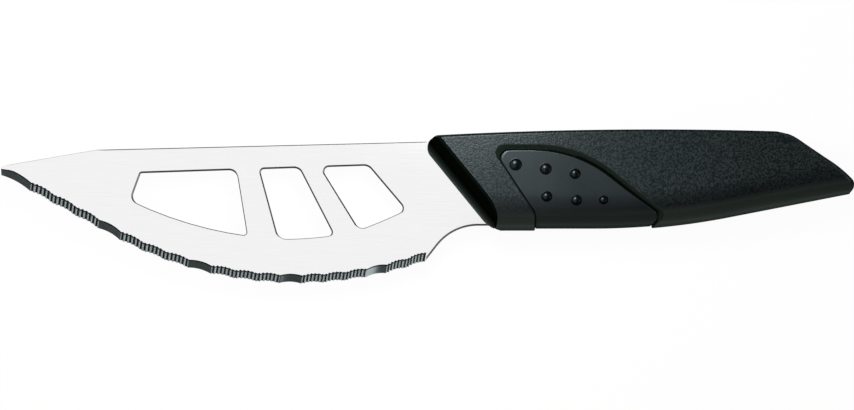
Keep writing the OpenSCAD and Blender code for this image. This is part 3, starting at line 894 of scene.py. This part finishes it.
def bolster_mesh():
    """Round front with its rim up to the seam, closed behind."""
    downs = np.linspace(*NOSE_SPAN, NOSE_ROWS) * NOSE_RUN
    seam = np.interp(downs, SEAM_DOWN, SEAM_DEPTH)

    def in_outline(depth):
        p = nose_point(downs, depth)
        return outline_room(p[:, 0], p[:, 1]) > 0

    cut = bisect(CUT_SEARCH, NOSE_ROWS, in_outline)

    def front_place(z):
        depth = np.maximum(front_depth(z), cut)
        return nose_point(downs, depth), depth

    def past_edge(z):
        p, _ = front_place(z)
        return half_z(p[:, 0], p[:, 1]) < z

    edge = bisect((0.0, HANDLE_THICKNESS / 2), NOSE_ROWS, past_edge)
    _, edge_depth = front_place(edge)
    held = (edge > LEAST_EDGE) & (seam - edge_depth > LEAST_RIM)
    rows = []
    for i in np.flatnonzero(held):
        rim = seam[i] - edge_depth[i]
        pull = min(NOSE_ARRIS, ARRIS_ROOM * edge[i], RIM_ROOM * rim)
        z = np.sin(np.linspace(0, np.pi / 2, FRONT_STEPS)) * (edge[i] - pull)
        depth = np.maximum(front_depth(z), cut[i])
        section = np.column_stack([depth, z])

        def on_rim(back):
            p = nose_point(downs[i], back)
            return np.array([back, float(half_z(p[0], p[1]))])

        start, corner, end = section[-1], np.array([edge_depth[i], edge[i]]), on_rim(edge_depth[i] + pull)
        t = np.linspace(0, 1, BEND_STEPS + 1)[1:, None]
        bend = (1 - t) ** 2 * start + 2 * t * (1 - t) * corner + t**2 * end
        rim_end = on_rim(seam[i])
        section = np.concatenate([section, bend, rim_end[None]])
        full = np.concatenate([section[::-1] * np.array([1, -1]), section[1:]])
        rows.append(np.column_stack([nose_point(downs[i], full[:, 0]), full[:, 1]]))
    rows = np.array(rows)
    count, wide = rows.shape[:2]
    number = np.arange(count * wide).reshape(count, wide)
    faces = []
    for i in range(count - 1):
        faces += quads(number[i], number[i + 1])
    faces.append(list(number[0, ::-1]))
    faces.append(list(number[-1]))
    return rows.reshape(-1, 3), faces


# Blade

def spine_y(x):
    return -SPINE_INSET + x * math.tan(math.radians(SPINE_ANGLE))


POINT_X = POINT_LENGTH - BLADE_LENGTH
TIP_HIGH = np.array([-BLADE_LENGTH, spine_y(POINT_X) - POINT_LENGTH * math.tan(math.radians(POINT_ANGLE))])
TIP_LOW = TIP_HIGH - np.array([0, TIP_HEIGHT])
NECK_Y = -SPINE_INSET - NECK_HEIGHT
DEEPEST_AHEAD = BLADE_LENGTH - DEEPEST_BEHIND
EDGE_CENTRE = np.array([-DEEPEST_AHEAD, MOVE_EDGE_LOW + EDGE_RADIUS])
HEEL_TURN = -90 + math.degrees(math.asin((DEEPEST_AHEAD - HEEL_AHEAD) / EDGE_RADIUS))
HEEL = EDGE_CENTRE + polar(EDGE_RADIUS, HEEL_TURN)
tip_away = TIP_LOW - EDGE_CENTRE
STRAIGHT_TURN = math.degrees(
    math.atan2(tip_away[1], tip_away[0]) + math.acos(EDGE_RADIUS / np.linalg.norm(tip_away))
)
STRAIGHT_END = EDGE_CENTRE + polar(EDGE_RADIUS, STRAIGHT_TURN)
CURVE_LENGTH = EDGE_RADIUS * math.radians(HEEL_TURN - STRAIGHT_TURN)
EDGE_LENGTH = CURVE_LENGTH + np.linalg.norm(TIP_LOW - STRAIGHT_END)


def edge_place(d):
    """Place on the edge at a distance from the heel, and the way into the blade there."""
    turn = HEEL_TURN - math.degrees(min(d, CURVE_LENGTH) / EDGE_RADIUS)
    inward = -polar(1, turn)
    place = EDGE_CENTRE - EDGE_RADIUS * inward
    if d > CURVE_LENGTH:
        place = place + (d - CURVE_LENGTH) * unit(TIP_LOW - STRAIGHT_END)
    return place, inward


def edge_y(x):
    return EDGE_CENTRE[1] - np.sqrt(EDGE_RADIUS**2 - (x - EDGE_CENTRE[0]) ** 2)


# Kinds of steel surface, in the order of the blade's materials. The dark kind is painted shade in the
# teeth's grooves, along the top of the ground band and on the heel's end, the land kind is painted
# highlight on the lands between grooves, and the cut and plain kinds are partly their cut and ground
# finish, partly painted dark reflection
FACE, CUT, PLAIN, PAINTED_SHADE_STEEL, LAND_PAINTED_HIGHLIGHT = range(5)
# Fineness of the blade's lines: a groove, a plain scallop, a window's foot, the point's bend and the choil
TOOTH_STEPS = 8
PLAIN_STEPS = 24
FOOT_POINTS = 7
POINT_STEPS = 8
CHOIL_STEPS = 30
PIN_SIDES = 40
GRIND_ROWS = 6
WINDOW_STEP = 0.6
BORDER_STEP = 0.8
# Radius of the bend between the point and the spine
POINT_RADIUS = 12.0
# Length over which the grooves turn upright at the tip
TIP_BEND = 4.0
# Where the chamfers change: behind the point's bend, from the tip, from the heel and into the nose
POINT_BLEND = (-1.0, 3.0)
TIP_BLEND = (1.0, 3.0)
HEEL_BLEND = (0.5, 1.5)
NOSE_BLEND = (1.0, 2.5)
NOSE_FADE = 0.9
# Shares of a window's normal between which its sides, and its top and foot, come in
SIDE_BLEND = (-0.3, 0.3)
TOP_BLEND = (0.4, 0.9)
# Mesh of the flat between the chamfers: its step, its lowest row and the distance that it keeps from lines
FLAT_GRID = 2.5
FLAT_LOW = -47.0
FLAT_ROOM = 1.0


def edge_profile():
    """Distances from the heel, heights of the scalloped edge above its plain line and kinds of surface."""
    ends, pitch = [0.0], SCALLOP_PITCH
    while ends[-1] + pitch < EDGE_LENGTH - SCALLOP_PITCH:
        ends.append(ends[-1] + pitch)
        pitch += PITCH_GROWTH
    ends.append(EDGE_LENGTH)
    count = len(ends) - 1
    n = TEETH_PER_SCALLOP
    along, height, kinds = [], [], []
    land = 1 - LAND_SHARE
    tooth = np.concatenate([[-1], np.linspace(-land, land, TOOTH_STEPS + 1)])
    for k in range(count):
        chord = ends[k + 1] - ends[k]
        if (count - 1 - k) % PLAIN_EVERY == 0:
            u = np.linspace(-1, 1, PLAIN_STEPS + 1)[:-1]
            along.append(ends[k] + (u + 1) * chord / 2)
            height.append(SCALLOP_DEPTH * (1 - u**2))
            kinds += [PLAIN] * len(u)
            continue
        for i in range(n):
            share = (2 * i + 1 - n) / n
            apex = SCALLOP_DEPTH * (((n - 1) / n) ** 2 - share**2) + TOOTH_DEPTH
            along.append(ends[k] + (i + (tooth + 1) / 2) * chord / n)
            height.append(apex - TOOTH_SHARE * TOOTH_DEPTH * np.minimum(np.abs(tooth), land) ** 2 / land**2)
            kinds += [LAND_PAINTED_HIGHLIGHT] + [PAINTED_SHADE_STEEL] * TOOTH_STEPS + [LAND_PAINTED_HIGHLIGHT]
    return np.append(np.concatenate(along), EDGE_LENGTH), np.append(np.concatenate(height), 0.0), kinds


def window_outline(i):
    """Window's outline, clockwise from its top rear corner round the front."""
    w, r = WINDOWS[i], WINDOW_RADII[i]
    t = np.linspace(0, 1, FOOT_POINTS)
    x = -w[2] + (w[2] - w[3]) * t
    low = np.column_stack([x, edge_y(x) + WINDOW_EDGE_RIM + w[4] + (w[5] - w[4]) * t])
    top = -SPINE_INSET - WINDOW_BACK_RIM
    slope = math.tan(math.radians(WINDOW_TOP_ANGLE))
    high = np.array([(-w[k], top - w[k] * slope) for k in (0, 1)])
    line = rounded(list(np.concatenate([high, low])), [*r[:3], *[0] * (FOOT_POINTS - 2), r[3]])
    return refined(np.concatenate([line, line[:1]]), WINDOW_STEP)[:-1]


def middle_y(x):
    return (back_y(x) + belly_y(x)) / 2


def neck_corner(depth, y, angle):
    return crossing(nose_point(0.0, depth), NOSE_ANGLE - 90, np.array([0, y]), angle)


def blade_border():
    """Blade's border from the tip along the spine, round the tang and back along the neck to the heel."""
    shoulder_high = neck_corner(SHOULDER_DEPTH, -SPINE_INSET, SPINE_ANGLE)
    shoulder_low = neck_corner(SHOULDER_DEPTH, NECK_Y, 0)
    pins = [np.array([x, middle_y(x)]) for x in (FRONT_PIN, REAR_PIN)]
    slope = math.degrees(math.atan2(pins[1][1] - pins[0][1], pins[1][0] - pins[0][0]))
    reach = (HANDLE_LENGTH - TANG_END - FRONT_PIN) / math.cos(math.radians(slope)) - TANG_HEIGHT / 2
    upper = pins[0] + polar(TANG_HEIGHT / 2, slope + 90)
    lower = pins[0] + polar(TANG_HEIGHT / 2, slope - 90)
    shoulder = nose_point(0.0, SHOULDER_DEPTH)
    end_turn = np.radians(slope + np.linspace(90, -90, 2 * ARC_STEPS + 1))
    end = pins[0] + polar(reach, slope) + TANG_HEIGHT / 2 * circle(end_turn)
    choil_corner = crossing(HEEL, CHOIL_ANGLE, np.array([0, NECK_Y]), 0)
    choil = corner_arc(shoulder_low, choil_corner, HEEL, CHOIL_RADIUS, CHOIL_STEPS)
    point = np.array([POINT_X, spine_y(POINT_X)])
    bend = corner_arc(TIP_HIGH, point, shoulder_high, POINT_RADIUS, POINT_STEPS)
    line = np.vstack([
        TIP_HIGH,
        bend,
        shoulder_high,
        crossing(shoulder, NOSE_ANGLE - 90, upper, slope),
        end,
        crossing(shoulder, NOSE_ANGLE - 90, lower, slope),
        shoulder_low,
        choil,
        HEEL,
    ])
    return refined(line, BORDER_STEP), pins


def inward_normals(line, closed):
    """Unit normals on the right of a line's way."""
    ahead, behind = np.roll(line, -1, axis=0), np.roll(line, 1, axis=0)
    if not closed:
        ahead[-1], behind[0] = line[-1], line[0]
    way = ahead - behind
    way = way / np.linalg.norm(way, axis=1)[:, None]
    return np.column_stack([way[:, 1], -way[:, 0]])


def smooth_step(value, low, high):
    t = np.clip((value - low) / (high - low), 0, 1)
    return t * t * (3 - 2 * t)


def broken_edge(outline, normals, share, add):
    """Adds an outline and the lines of its chamfer. Gives the numbers of the outline's points."""
    level = BLADE_THICKNESS / 2
    lines = [
        np.column_stack([outline + normals * (room * share)[:, None], level - depth * share])
        for room, depth in CHAMFER
    ]
    numbers = add(lines[0])
    for rows in lines[1:]:
        add(rows[share > 0])
    return numbers


def blade_face(lower_line, outer, windows, pin_loops, sign):
    """One face of the blade: chamfered along its border and windows, flat between."""
    level = BLADE_THICKNESS / 2
    whole = 1.0 if sign > 0 else UNDER_SHARE
    points = Points()
    ends = lengths_along(outer)
    share = POINT_SHARE + (SPINE_SHARE - POINT_SHARE) * smooth_step(outer[:, 0] - POINT_X, *POINT_BLEND)
    share = np.where(outer[:, 1] < NECK_Y + NECK_HEIGHT / 2, NECK_SHARE, share)
    share = share * whole * smooth_step(ends, *TIP_BLEND) * smooth_step(ends[-1] - ends, *HEEL_BLEND)
    share = share * (1 - NOSE_FADE * smooth_step((outer - NOSE_START) @ NOSE_BACK, *NOSE_BLEND))
    share = np.where(share > LEAST_SHARE, share, 0)
    outer_chain = broken_edge(outer, inward_normals(outer, False), share, points.add)
    window_chains = []
    for loop, (top, front, foot, rear) in zip(windows, WINDOW_SHARES):
        normal = inward_normals(loop, True)
        share = front + (rear - front) * smooth_step(normal[:, 0], *SIDE_BLEND)
        share += (top - share) * smooth_step(normal[:, 1], *TOP_BLEND)
        share += (foot - share) * smooth_step(-normal[:, 1], *TOP_BLEND)
        window_chains.append(broken_edge(loop, normal, share * whole, points.add_loop))
    pin_chains = [points.add_loop(with_column(loop, level)) for loop in pin_loops]
    lower_chain = points.add(with_column(lower_line, level))
    border = np.concatenate([outer_chain, lower_chain])
    points.chains.append(np.array([outer_chain[-1], lower_chain[0]]))
    points.chains.append(np.array([lower_chain[-1], outer_chain[0]]))
    fixed = points.all()
    grid = lattice(np.arange(-BLADE_LENGTH, HANDLE_LENGTH, FLAT_GRID), np.arange(FLAT_LOW, 0, FLAT_GRID))

    def on_blade(p):
        held = inside(p, fixed[border, :2])
        for chain in window_chains + pin_chains:
            held &= ~inside(p, fixed[chain, :2])
        return held

    grid = grid[on_blade(grid)]
    grid = grid[clear_of(grid, fixed[:, :2], FLAT_ROOM)]
    points.add(with_column(grid, level), chain=False)
    rows, faces, same = points.triangles(on_blade)
    broken = (rows[faces, 2] < level - TINY).any(1)
    rows[:, 2] *= sign
    if sign < 0:
        faces = faces[:, ::-1]
    chains = [outer_chain] + window_chains + pin_chains
    return rows, faces, [same[c] for c in chains], same[lower_chain], np.where(broken, CUT, FACE)


def blade_mesh():
    """Both faces of the blade, the ground edge and the walls. Also each face's kind of steel."""
    outer, pins = blade_border()
    windows = [window_outline(i) for i in range(len(WINDOWS))]
    around = circle(np.linspace(0, -2 * np.pi, PIN_SIDES, endpoint=False))
    pin_loops = [p + PIN_DIAMETER / 2 * around for p in pins]
    along, rise, kinds = edge_profile()
    low, high = [], []
    for d, h in zip(along, rise):
        place, inward = edge_place(d)
        near_tip = smooth_step(d, EDGE_LENGTH - TIP_BEND, EDGE_LENGTH)
        way = polar(1, GROOVE_ANGLE + (90 - GROOVE_ANGLE) * near_tip)
        reach = GRIND_WIDTH / np.dot(way, inward)
        low.append(place + inward * h)
        high.append(low[-1] + way * (reach + (TIP_GRIND - reach) * near_tip))
    low, high = np.array(low), np.array(high)
    level = BLADE_THICKNESS / 2

    top, top_faces, top_chains, top_low, top_marks = blade_face(high, outer, windows, pin_loops, 1)
    under, under_faces, under_chains, under_low, under_marks = blade_face(
        low[1:], outer, windows, pin_loops, -1
    )
    shift = len(top)
    points = [top, under]
    faces = [list(f) for f in top_faces] + [list(f + shift) for f in under_faces]
    marks = list(top_marks) + list(under_marks)

    for number, (a, b) in enumerate(zip(top_chains, under_chains)):
        b = b + shift
        count = len(a)
        for i in range(count if number else count - 1):
            j = (i + 1) % count
            faces.append([a[i], b[i], b[j], a[j]])
            marks.append(CUT)

    heel_under = under_chains[0][-1] + shift
    bottom = np.concatenate([[heel_under], under_low + shift])
    grid = [top_low]
    base = shift + len(under)
    for row in range(1, GRIND_ROWS):
        t = row / GRIND_ROWS
        strip = with_column(high * (1 - t) + low * t, level * (1 - 2 * t))
        points.append(strip)
        grid.append(np.arange(base, base + len(strip)))
        base += len(strip)
    grid.append(bottom)
    for row, (a, b) in enumerate(zip(grid, grid[1:])):
        faces += quads(a, b, closed=False)
        marks += kinds if row else [PAINTED_SHADE_STEEL] * len(kinds)
    heel_top = top_chains[0][-1]
    faces.append([heel_top] + [row[0] for row in grid])
    marks.append(PAINTED_SHADE_STEEL)
    tip_top, tip_under = top_chains[0][0], under_chains[0][0] + shift
    faces.append([tip_top, tip_under] + [row[-1] for row in grid[::-1]])
    marks.append(CUT)
    return np.concatenate(points), faces, marks


# Materials

def fill(tree, made, values):
    """Sets a node's inputs, or links them to other nodes' outputs."""
    for name, value in values.items():
        if isinstance(value, bpy.types.NodeSocket):
            tree.links.new(value, made.inputs[name])
        else:
            made.inputs[name].default_value = value


def node(tree, kind, values):
    """Outputs of a new shader node, whose inputs are filled."""
    made = tree.nodes.new(kind)
    fill(tree, made, values)
    return made.outputs


def new_material(name):
    """Material with its node tree and the places on the object."""
    material = bpy.data.materials.new(name)
    material.use_nodes = True
    tree = material.node_tree
    return material, tree, node(tree, "ShaderNodeTexCoord", {})["Object"]


def noise(tree, place, scale, detail=2.0, roughness=0.5, stretch=None):
    """Noise texture, its scale counted in grains a metre."""
    if stretch:
        place = node(tree, "ShaderNodeMapping", {"Vector": place, "Scale": stretch})["Vector"]
    values = {"Vector": place, "Scale": scale, "Detail": detail, "Roughness": roughness}
    return node(tree, "ShaderNodeTexNoise", values)["Fac"]


def ramp(tree, value, stops):
    """Colour ramp from (position, colour) stops."""
    made = tree.nodes.new("ShaderNodeValToRGB")
    elements = made.color_ramp.elements
    while len(elements) < len(stops):
        elements.new(0.5)
    for element, (position, colour) in zip(elements, stops):
        element.position = position
        element.color = (*colour, 1.0)
    tree.links.new(value, made.inputs["Fac"])
    return made.outputs["Color"]


def between(tree, value, low, high, low_in=0.3, high_in=0.7):
    """A value carried to another range, from a noise's usual range unless another is given."""
    values = {"Value": value, "From Min": low_in, "From Max": high_in, "To Min": low, "To Max": high}
    return node(tree, "ShaderNodeMapRange", values)["Result"]


def uneven(tree, cloud, value, spread):
    """A value that varies with the clouds."""
    return between(tree, cloud, value - spread, value + spread)


def bump(tree, height, strength, distance):
    values = {"Height": height, "Strength": strength, "Distance": distance}
    return node(tree, "ShaderNodeBump", values)["Normal"]


def mix(tree, a, b, factor=1.0, how="MIX"):
    """Two colours mixed, wholly or by a factor."""
    made = tree.nodes.new("ShaderNodeMix")
    made.data_type = "RGBA"
    made.blend_type = how
    fill(tree, made, {"Factor": factor, "A": a, "B": b})
    return made.outputs["Result"]


def calculate(tree, operation, *values):
    """Result of an operation on one or two values."""
    made = tree.nodes.new("ShaderNodeMath")
    made.operation = operation
    fill(tree, made, dict(enumerate(values)))
    return made.outputs["Value"]


# Upright shares of a face's normal between which the sheen comes in, and shares along Y between which
# the belly's plain finish gives way to the grain
SHEEN_TILT = (0.86, 0.98)
BELLY_TILT = (-0.43, -0.27)
# Painted shade of the low flank and painted light and shade of the belly, by the normal's share along Y,
# and the nose's painted sheen by its upright share
FLANK_PAINTED_SHADE = [(-0.28, 0.36), (-0.15, 0.46), (-0.06, 0.72), (-0.02, 1.0)]
BELLY_PAINTED_LIGHT_AND_SHADE = [(-0.95, 1.1), (-0.85, 1.5), (-0.76, 0.95), (-0.66, 0.7), (-0.5, 0.58)]
FRONT_PAINTED_SHEEN = [(0.05, 0.8), (0.2, 1.0), (0.42, 0.25), (0.6, 0.0)]
# Colour of the plastics' sheen
SHEEN_TINT = (0.86, 1.0, 1.06, 1.0)
# Clouds and brushed lines a metre, the lines' depth, and what the clouds do to roughness and tone
PLASTIC_CLOUDS = 60.0
STEEL_CLOUDS = 40.0
BRUSH_LINES = 2500.0
BRUSH_DEPTH = 0.000004
BRUSH_STRENGTH = 0.25
PLASTIC_SPREAD = 0.03
STEEL_SPREAD = 0.02
CLOUD_TONES = [(0.3, 0.94), (0.7, 1.0)]


def shades(tree, value, stops, colour=(1, 1, 1)):
    """Tones of one colour, white unless given, from (position, share) stops."""
    return ramp(tree, value, [(position, [share * c for c in colour]) for position, share in stops])


def moulded_plastic(name, dark, light, roughness, grain_size, grain_depth, sheen, belly=None, front=None):
    """Moulded plastic with a fine grain and a slightly uneven sheen, which fades on tilted faces. Where a
    belly colour is given, the grain is darkened as painted shade on faces that turn down, and the belly
    colour, a plain finish lit and shaded by painted light by how far its faces turn down, takes the grain's
    place on faces that look down the knife's edge side. A front colour, a painted sheen, goes on faces that
    stand upright."""
    material, tree, place = new_material(name)
    grain = noise(tree, place, 1 / grain_size, roughness=0.6)
    cloud = noise(tree, place, PLASTIC_CLOUDS, detail=3.0)
    normal = node(tree, "ShaderNodeNewGeometry", {})["Normal"]
    axes = node(tree, "ShaderNodeSeparateXYZ", {"Vector": normal})
    upright = calculate(tree, "ABSOLUTE", axes["Z"])
    colour = ramp(tree, grain, [(0.42, dark), (0.58, light)])
    if belly:
        tilt = between(tree, axes["Y"], 0.0, 1.0, -1.0, 0.0)
        # Painted shade on the low flank, and painted light and shade on the belly, by the normal's share
        # along Y
        flank = shades(tree, tilt, [(1 + y, share) for y, share in FLANK_PAINTED_SHADE])
        tone = shades(tree, tilt, [(1 + y, share) for y, share in BELLY_PAINTED_LIGHT_AND_SHADE], belly)
        tone = mix(tree, tone, shades(tree, cloud, CLOUD_TONES), how="MULTIPLY")
        plain = between(tree, axes["Y"], 0.0, 1.0, *BELLY_TILT)
        colour = mix(tree, tone, mix(tree, colour, flank, how="MULTIPLY"), plain)
        grain = calculate(tree, "MULTIPLY", grain, plain)
    if front:
        # Painted sheen: the front colour on faces that stand upright
        colour = mix(tree, shades(tree, upright, FRONT_PAINTED_SHEEN, front), colour, upright)
    fill(tree, tree.nodes["Principled BSDF"], {
        "Base Color": colour,
        "Roughness": uneven(tree, cloud, roughness, PLASTIC_SPREAD),
        "Normal": bump(tree, grain, 1.0, grain_depth),
        "Specular IOR Level": between(tree, upright, 0.0, sheen, *SHEEN_TILT),
        "Specular Tint": SHEEN_TINT,
    })
    return material


def brushed_steel(name, dark, light, roughness, brush):
    """Steel with fine brushed lines one way."""
    material, tree, place = new_material(name)
    lines = noise(tree, place, BRUSH_LINES, 3.0, 0.6, brush)
    cloud = noise(tree, place, STEEL_CLOUDS)
    fill(tree, tree.nodes["Principled BSDF"], {
        "Base Color": ramp(tree, lines, [(0.25, dark), (0.75, light)]),
        "Roughness": uneven(tree, cloud, roughness, STEEL_SPREAD),
        "Normal": bump(tree, lines, BRUSH_STRENGTH, BRUSH_DEPTH),
        "Metallic": 1.0,
    })
    return material


# Ways in which steel is brushed, as stretches of its lines
ALONG, ACROSS, ROUND = (0.04, 1.0, 1.0), (1.0, 0.1, 1.0), (1.0, 1.0, 0.1)
steel_face = brushed_steel("steel_face", (0.632, 0.632, 0.632), (0.662, 0.662, 0.662), 0.08, ALONG)
# Cut edges and the plain ground scallops: partly their own duller finish, partly painted dark reflection
steel_cut_and_painted_reflection = brushed_steel("steel_cut_and_painted_reflection", (0.1, 0.105, 0.105), (0.16, 0.165, 0.165), 0.35, ALONG)
steel_ground_and_painted_reflection = brushed_steel("steel_ground_and_painted_reflection", (0.31, 0.37, 0.38), (0.4, 0.47, 0.48), 0.22, ACROSS)
# Dark steel as painted shade in the grooves, and light steel as painted highlight on the lands
steel_groove_painted_shade = brushed_steel("steel_groove_painted_shade", (0.05, 0.06, 0.062), (0.08, 0.095, 0.1), 0.25, ACROSS)
steel_land_painted_highlight = brushed_steel("steel_land_painted_highlight", (0.5, 0.56, 0.57), (0.58, 0.64, 0.65), 0.5, ACROSS)
steel_pin = brushed_steel("steel_pin", (0.5, 0.5, 0.5), (0.6, 0.6, 0.6), 0.35, ROUND)
# Belly colours: a plain finish, set lighter partly as painted light on the faces that look down
BELLY_BLACK = (0.025, 0.032, 0.028)
SADDLE_BELLY = (0.018, 0.024, 0.021)
grained = moulded_plastic(
    "grained_black", (0.003, 0.0055, 0.0055), (0.018, 0.024, 0.024), 0.3, 0.0006, 0.00007, 0.25, BELLY_BLACK
)
soft = moulded_plastic(
    "soft_black", (0.007, 0.010, 0.011), (0.010, 0.014, 0.015), 0.3, 0.0003, 0.000006, 0.36, SADDLE_BELLY
)
dome_gloss = moulded_plastic(
    "dome_black", (0.001, 0.0015, 0.0015), (0.002, 0.003, 0.003), 0.22, 0.0006, 0.000003, 0.23
)
bevel_black = moulded_plastic(
    "bevel_black", (0.007, 0.0105, 0.008), (0.009, 0.013, 0.010), 0.35, 0.0006, 0.000005, 0.05
)
# Near-black plastic laid as painted shade in the bevel's groove and along the seam
painted_shade_black = moulded_plastic(
    "painted_shade_black", (0.0012, 0.0022, 0.0014), (0.0016, 0.0028, 0.0018), 0.35, 0.0006, 0.000005, 0.02
)
# The nose's front colour is a painted sheen on its upright faces
smooth = moulded_plastic(
    "smooth_black", (0.0006, 0.0014, 0.0004), (0.001, 0.002, 0.0007), 0.35, 0.0006, 0.000005, 0.03,
    front=(0.075, 0.1, 0.092),
)

# Pieces

scale_blacks = [grained, bevel_black, painted_shade_black]
blade_steels = [steel_face, steel_cut_and_painted_reflection, steel_ground_and_painted_reflection, steel_groove_painted_shade, steel_land_painted_highlight]
points, faces, marks = scale_mesh()
new_piece("left_scale_shell", "left_scale", "scale_black", scale_blacks, points, faces, marks)
points, faces = mirrored(points, faces)
new_piece("right_scale_shell", "right_scale", "scale_black", scale_blacks, points, faces, marks)
new_piece("grip_saddle_skin", "grip_saddle", "saddle_soft", [soft, dome_gloss], *saddle_mesh())
new_piece("bolster_nose", "bolster", "bolster_black", [smooth], *bolster_mesh())
new_piece("blade_sheet", "blade", "blade_steel", blade_steels, *blade_mesh(), STEEL_SMOOTH_ANGLE)
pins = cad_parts["dowel_pins"]
pins.data.materials.clear()
pins.data.materials.append(steel_pin)

# Stage: floor, light and camera

FLOOR_SIZE = 3.0
FLOOR_GLOW = 0.95
floor_mesh = bpy.data.meshes.new("floor")
corner = FLOOR_SIZE / 2
floor_corners = [(-corner, -corner, 0), (corner, -corner, 0), (corner, corner, 0), (-corner, corner, 0)]
floor_mesh.from_pydata(floor_corners, [], [(0, 1, 2, 3)])
floor = add_object("floor", floor_mesh)
floor_paint, tree, _ = new_material("floor_paint")
tree.nodes.clear()
rays = node(tree, "ShaderNodeLightPath", {})
seen = calculate(tree, "MAXIMUM", rays["Is Camera Ray"], rays["Is Glossy Ray"])
seen = calculate(tree, "MAXIMUM", seen, rays["Is Transmission Ray"])
share = between(tree, seen, 0.0, FLOOR_GLOW, 0.0, 1.0)
white = node(tree, "ShaderNodeBsdfDiffuse", {"Color": (0.9, 0.9, 0.9, 1)})["BSDF"]
glow = node(tree, "ShaderNodeEmission", {})["Emission"]
paint = node(tree, "ShaderNodeMixShader", {"Fac": share, 1: white, 2: glow})["Shader"]
node(tree, "ShaderNodeOutputMaterial", {"Surface": paint})
floor_mesh.materials.append(floor_paint)

# Brightness of the sky from the edge side to the back, and of the horizon by height
SKY = [(0.0, 0.08), (0.5, 0.09), (0.75, 0.3), (1.0, 0.4)]
HORIZON = [(0.08, 0.9), (0.14, 0.0)]
world = bpy.data.worlds.new("studio")
bpy.context.scene.world = world
world.use_nodes = True
tree = world.node_tree
way = node(tree, "ShaderNodeTexCoord", {})["Generated"]
axes = node(tree, "ShaderNodeSeparateXYZ", {"Vector": way})
over = shades(tree, between(tree, axes["Y"], 0.0, 1.0, -1.0, 1.0), SKY)
rim = shades(tree, axes["Z"], HORIZON)
fill(tree, tree.nodes["Background"], {"Color": mix(tree, over, rim, how="LIGHTEN")})


def area_light(name, place, aim, size, strength):
    """Rectangular soft light, its strength given as the brightness of its face."""
    lamp = bpy.data.lights.new(name, "AREA")
    lamp.shape = "RECTANGLE"
    lamp.size, lamp.size_y = size
    lamp.energy = strength * math.pi * size[0] * size[1]
    made = add_object(name, lamp)
    made.location = place
    made.rotation_euler = (Vector(aim) - Vector(place)).to_track_quat("-Z", "Y").to_euler()
    made.visible_camera = False


area_light("blade_softbox", (-0.19, 0.0, 0.25), (-0.19, 0.0, 0), (0.43, 0.4), 1.28)
area_light("key_softbox", (0.003, 0.065, 0.14), (0.003, 0.065, 0), (0.05, 0.06), 21.0)
area_light("side_softbox", (-0.7, 0.15, 0.5), (0, 0, 0), (0.5, 0.5), 1.5)
area_light("low_softbox", (0.39, -0.65, 0.27), (-0.02, -0.02, 0), (0.58, 0.28), 1.1)
area_light("rear_softbox", (0.4, -0.1, 0.2), (0.1, 0.0, 0.01), (0.25, 0.2), 3.4)

# Photo's size in pixels, the pixel over the frame's origin and the size of a pixel
PHOTO_WIDTH, PHOTO_HEIGHT = 854, 410
ORIGIN_X, ORIGIN_Y = 427.3, 206.5
PIXEL = 0.3 * MM
CAMERA_HEIGHT = 2.4
SENSOR_WIDTH = 36.0
camera_data = bpy.data.cameras.new("camera")
camera_data.sensor_fit = "HORIZONTAL"
camera_data.sensor_width = SENSOR_WIDTH
camera_data.lens = SENSOR_WIDTH * (CAMERA_HEIGHT - HANDLE_THICKNESS / 2 * MM) / (PHOTO_WIDTH * PIXEL)
camera_data.clip_end = 20.0
camera = add_object("camera", camera_data)
across, up = PHOTO_WIDTH / 2 - ORIGIN_X, ORIGIN_Y - PHOTO_HEIGHT / 2
camera.location = (across * PIXEL, up * PIXEL, CAMERA_HEIGHT)
bpy.context.scene.camera = camera
bpy.context.scene.view_settings.view_transform = "Standard"
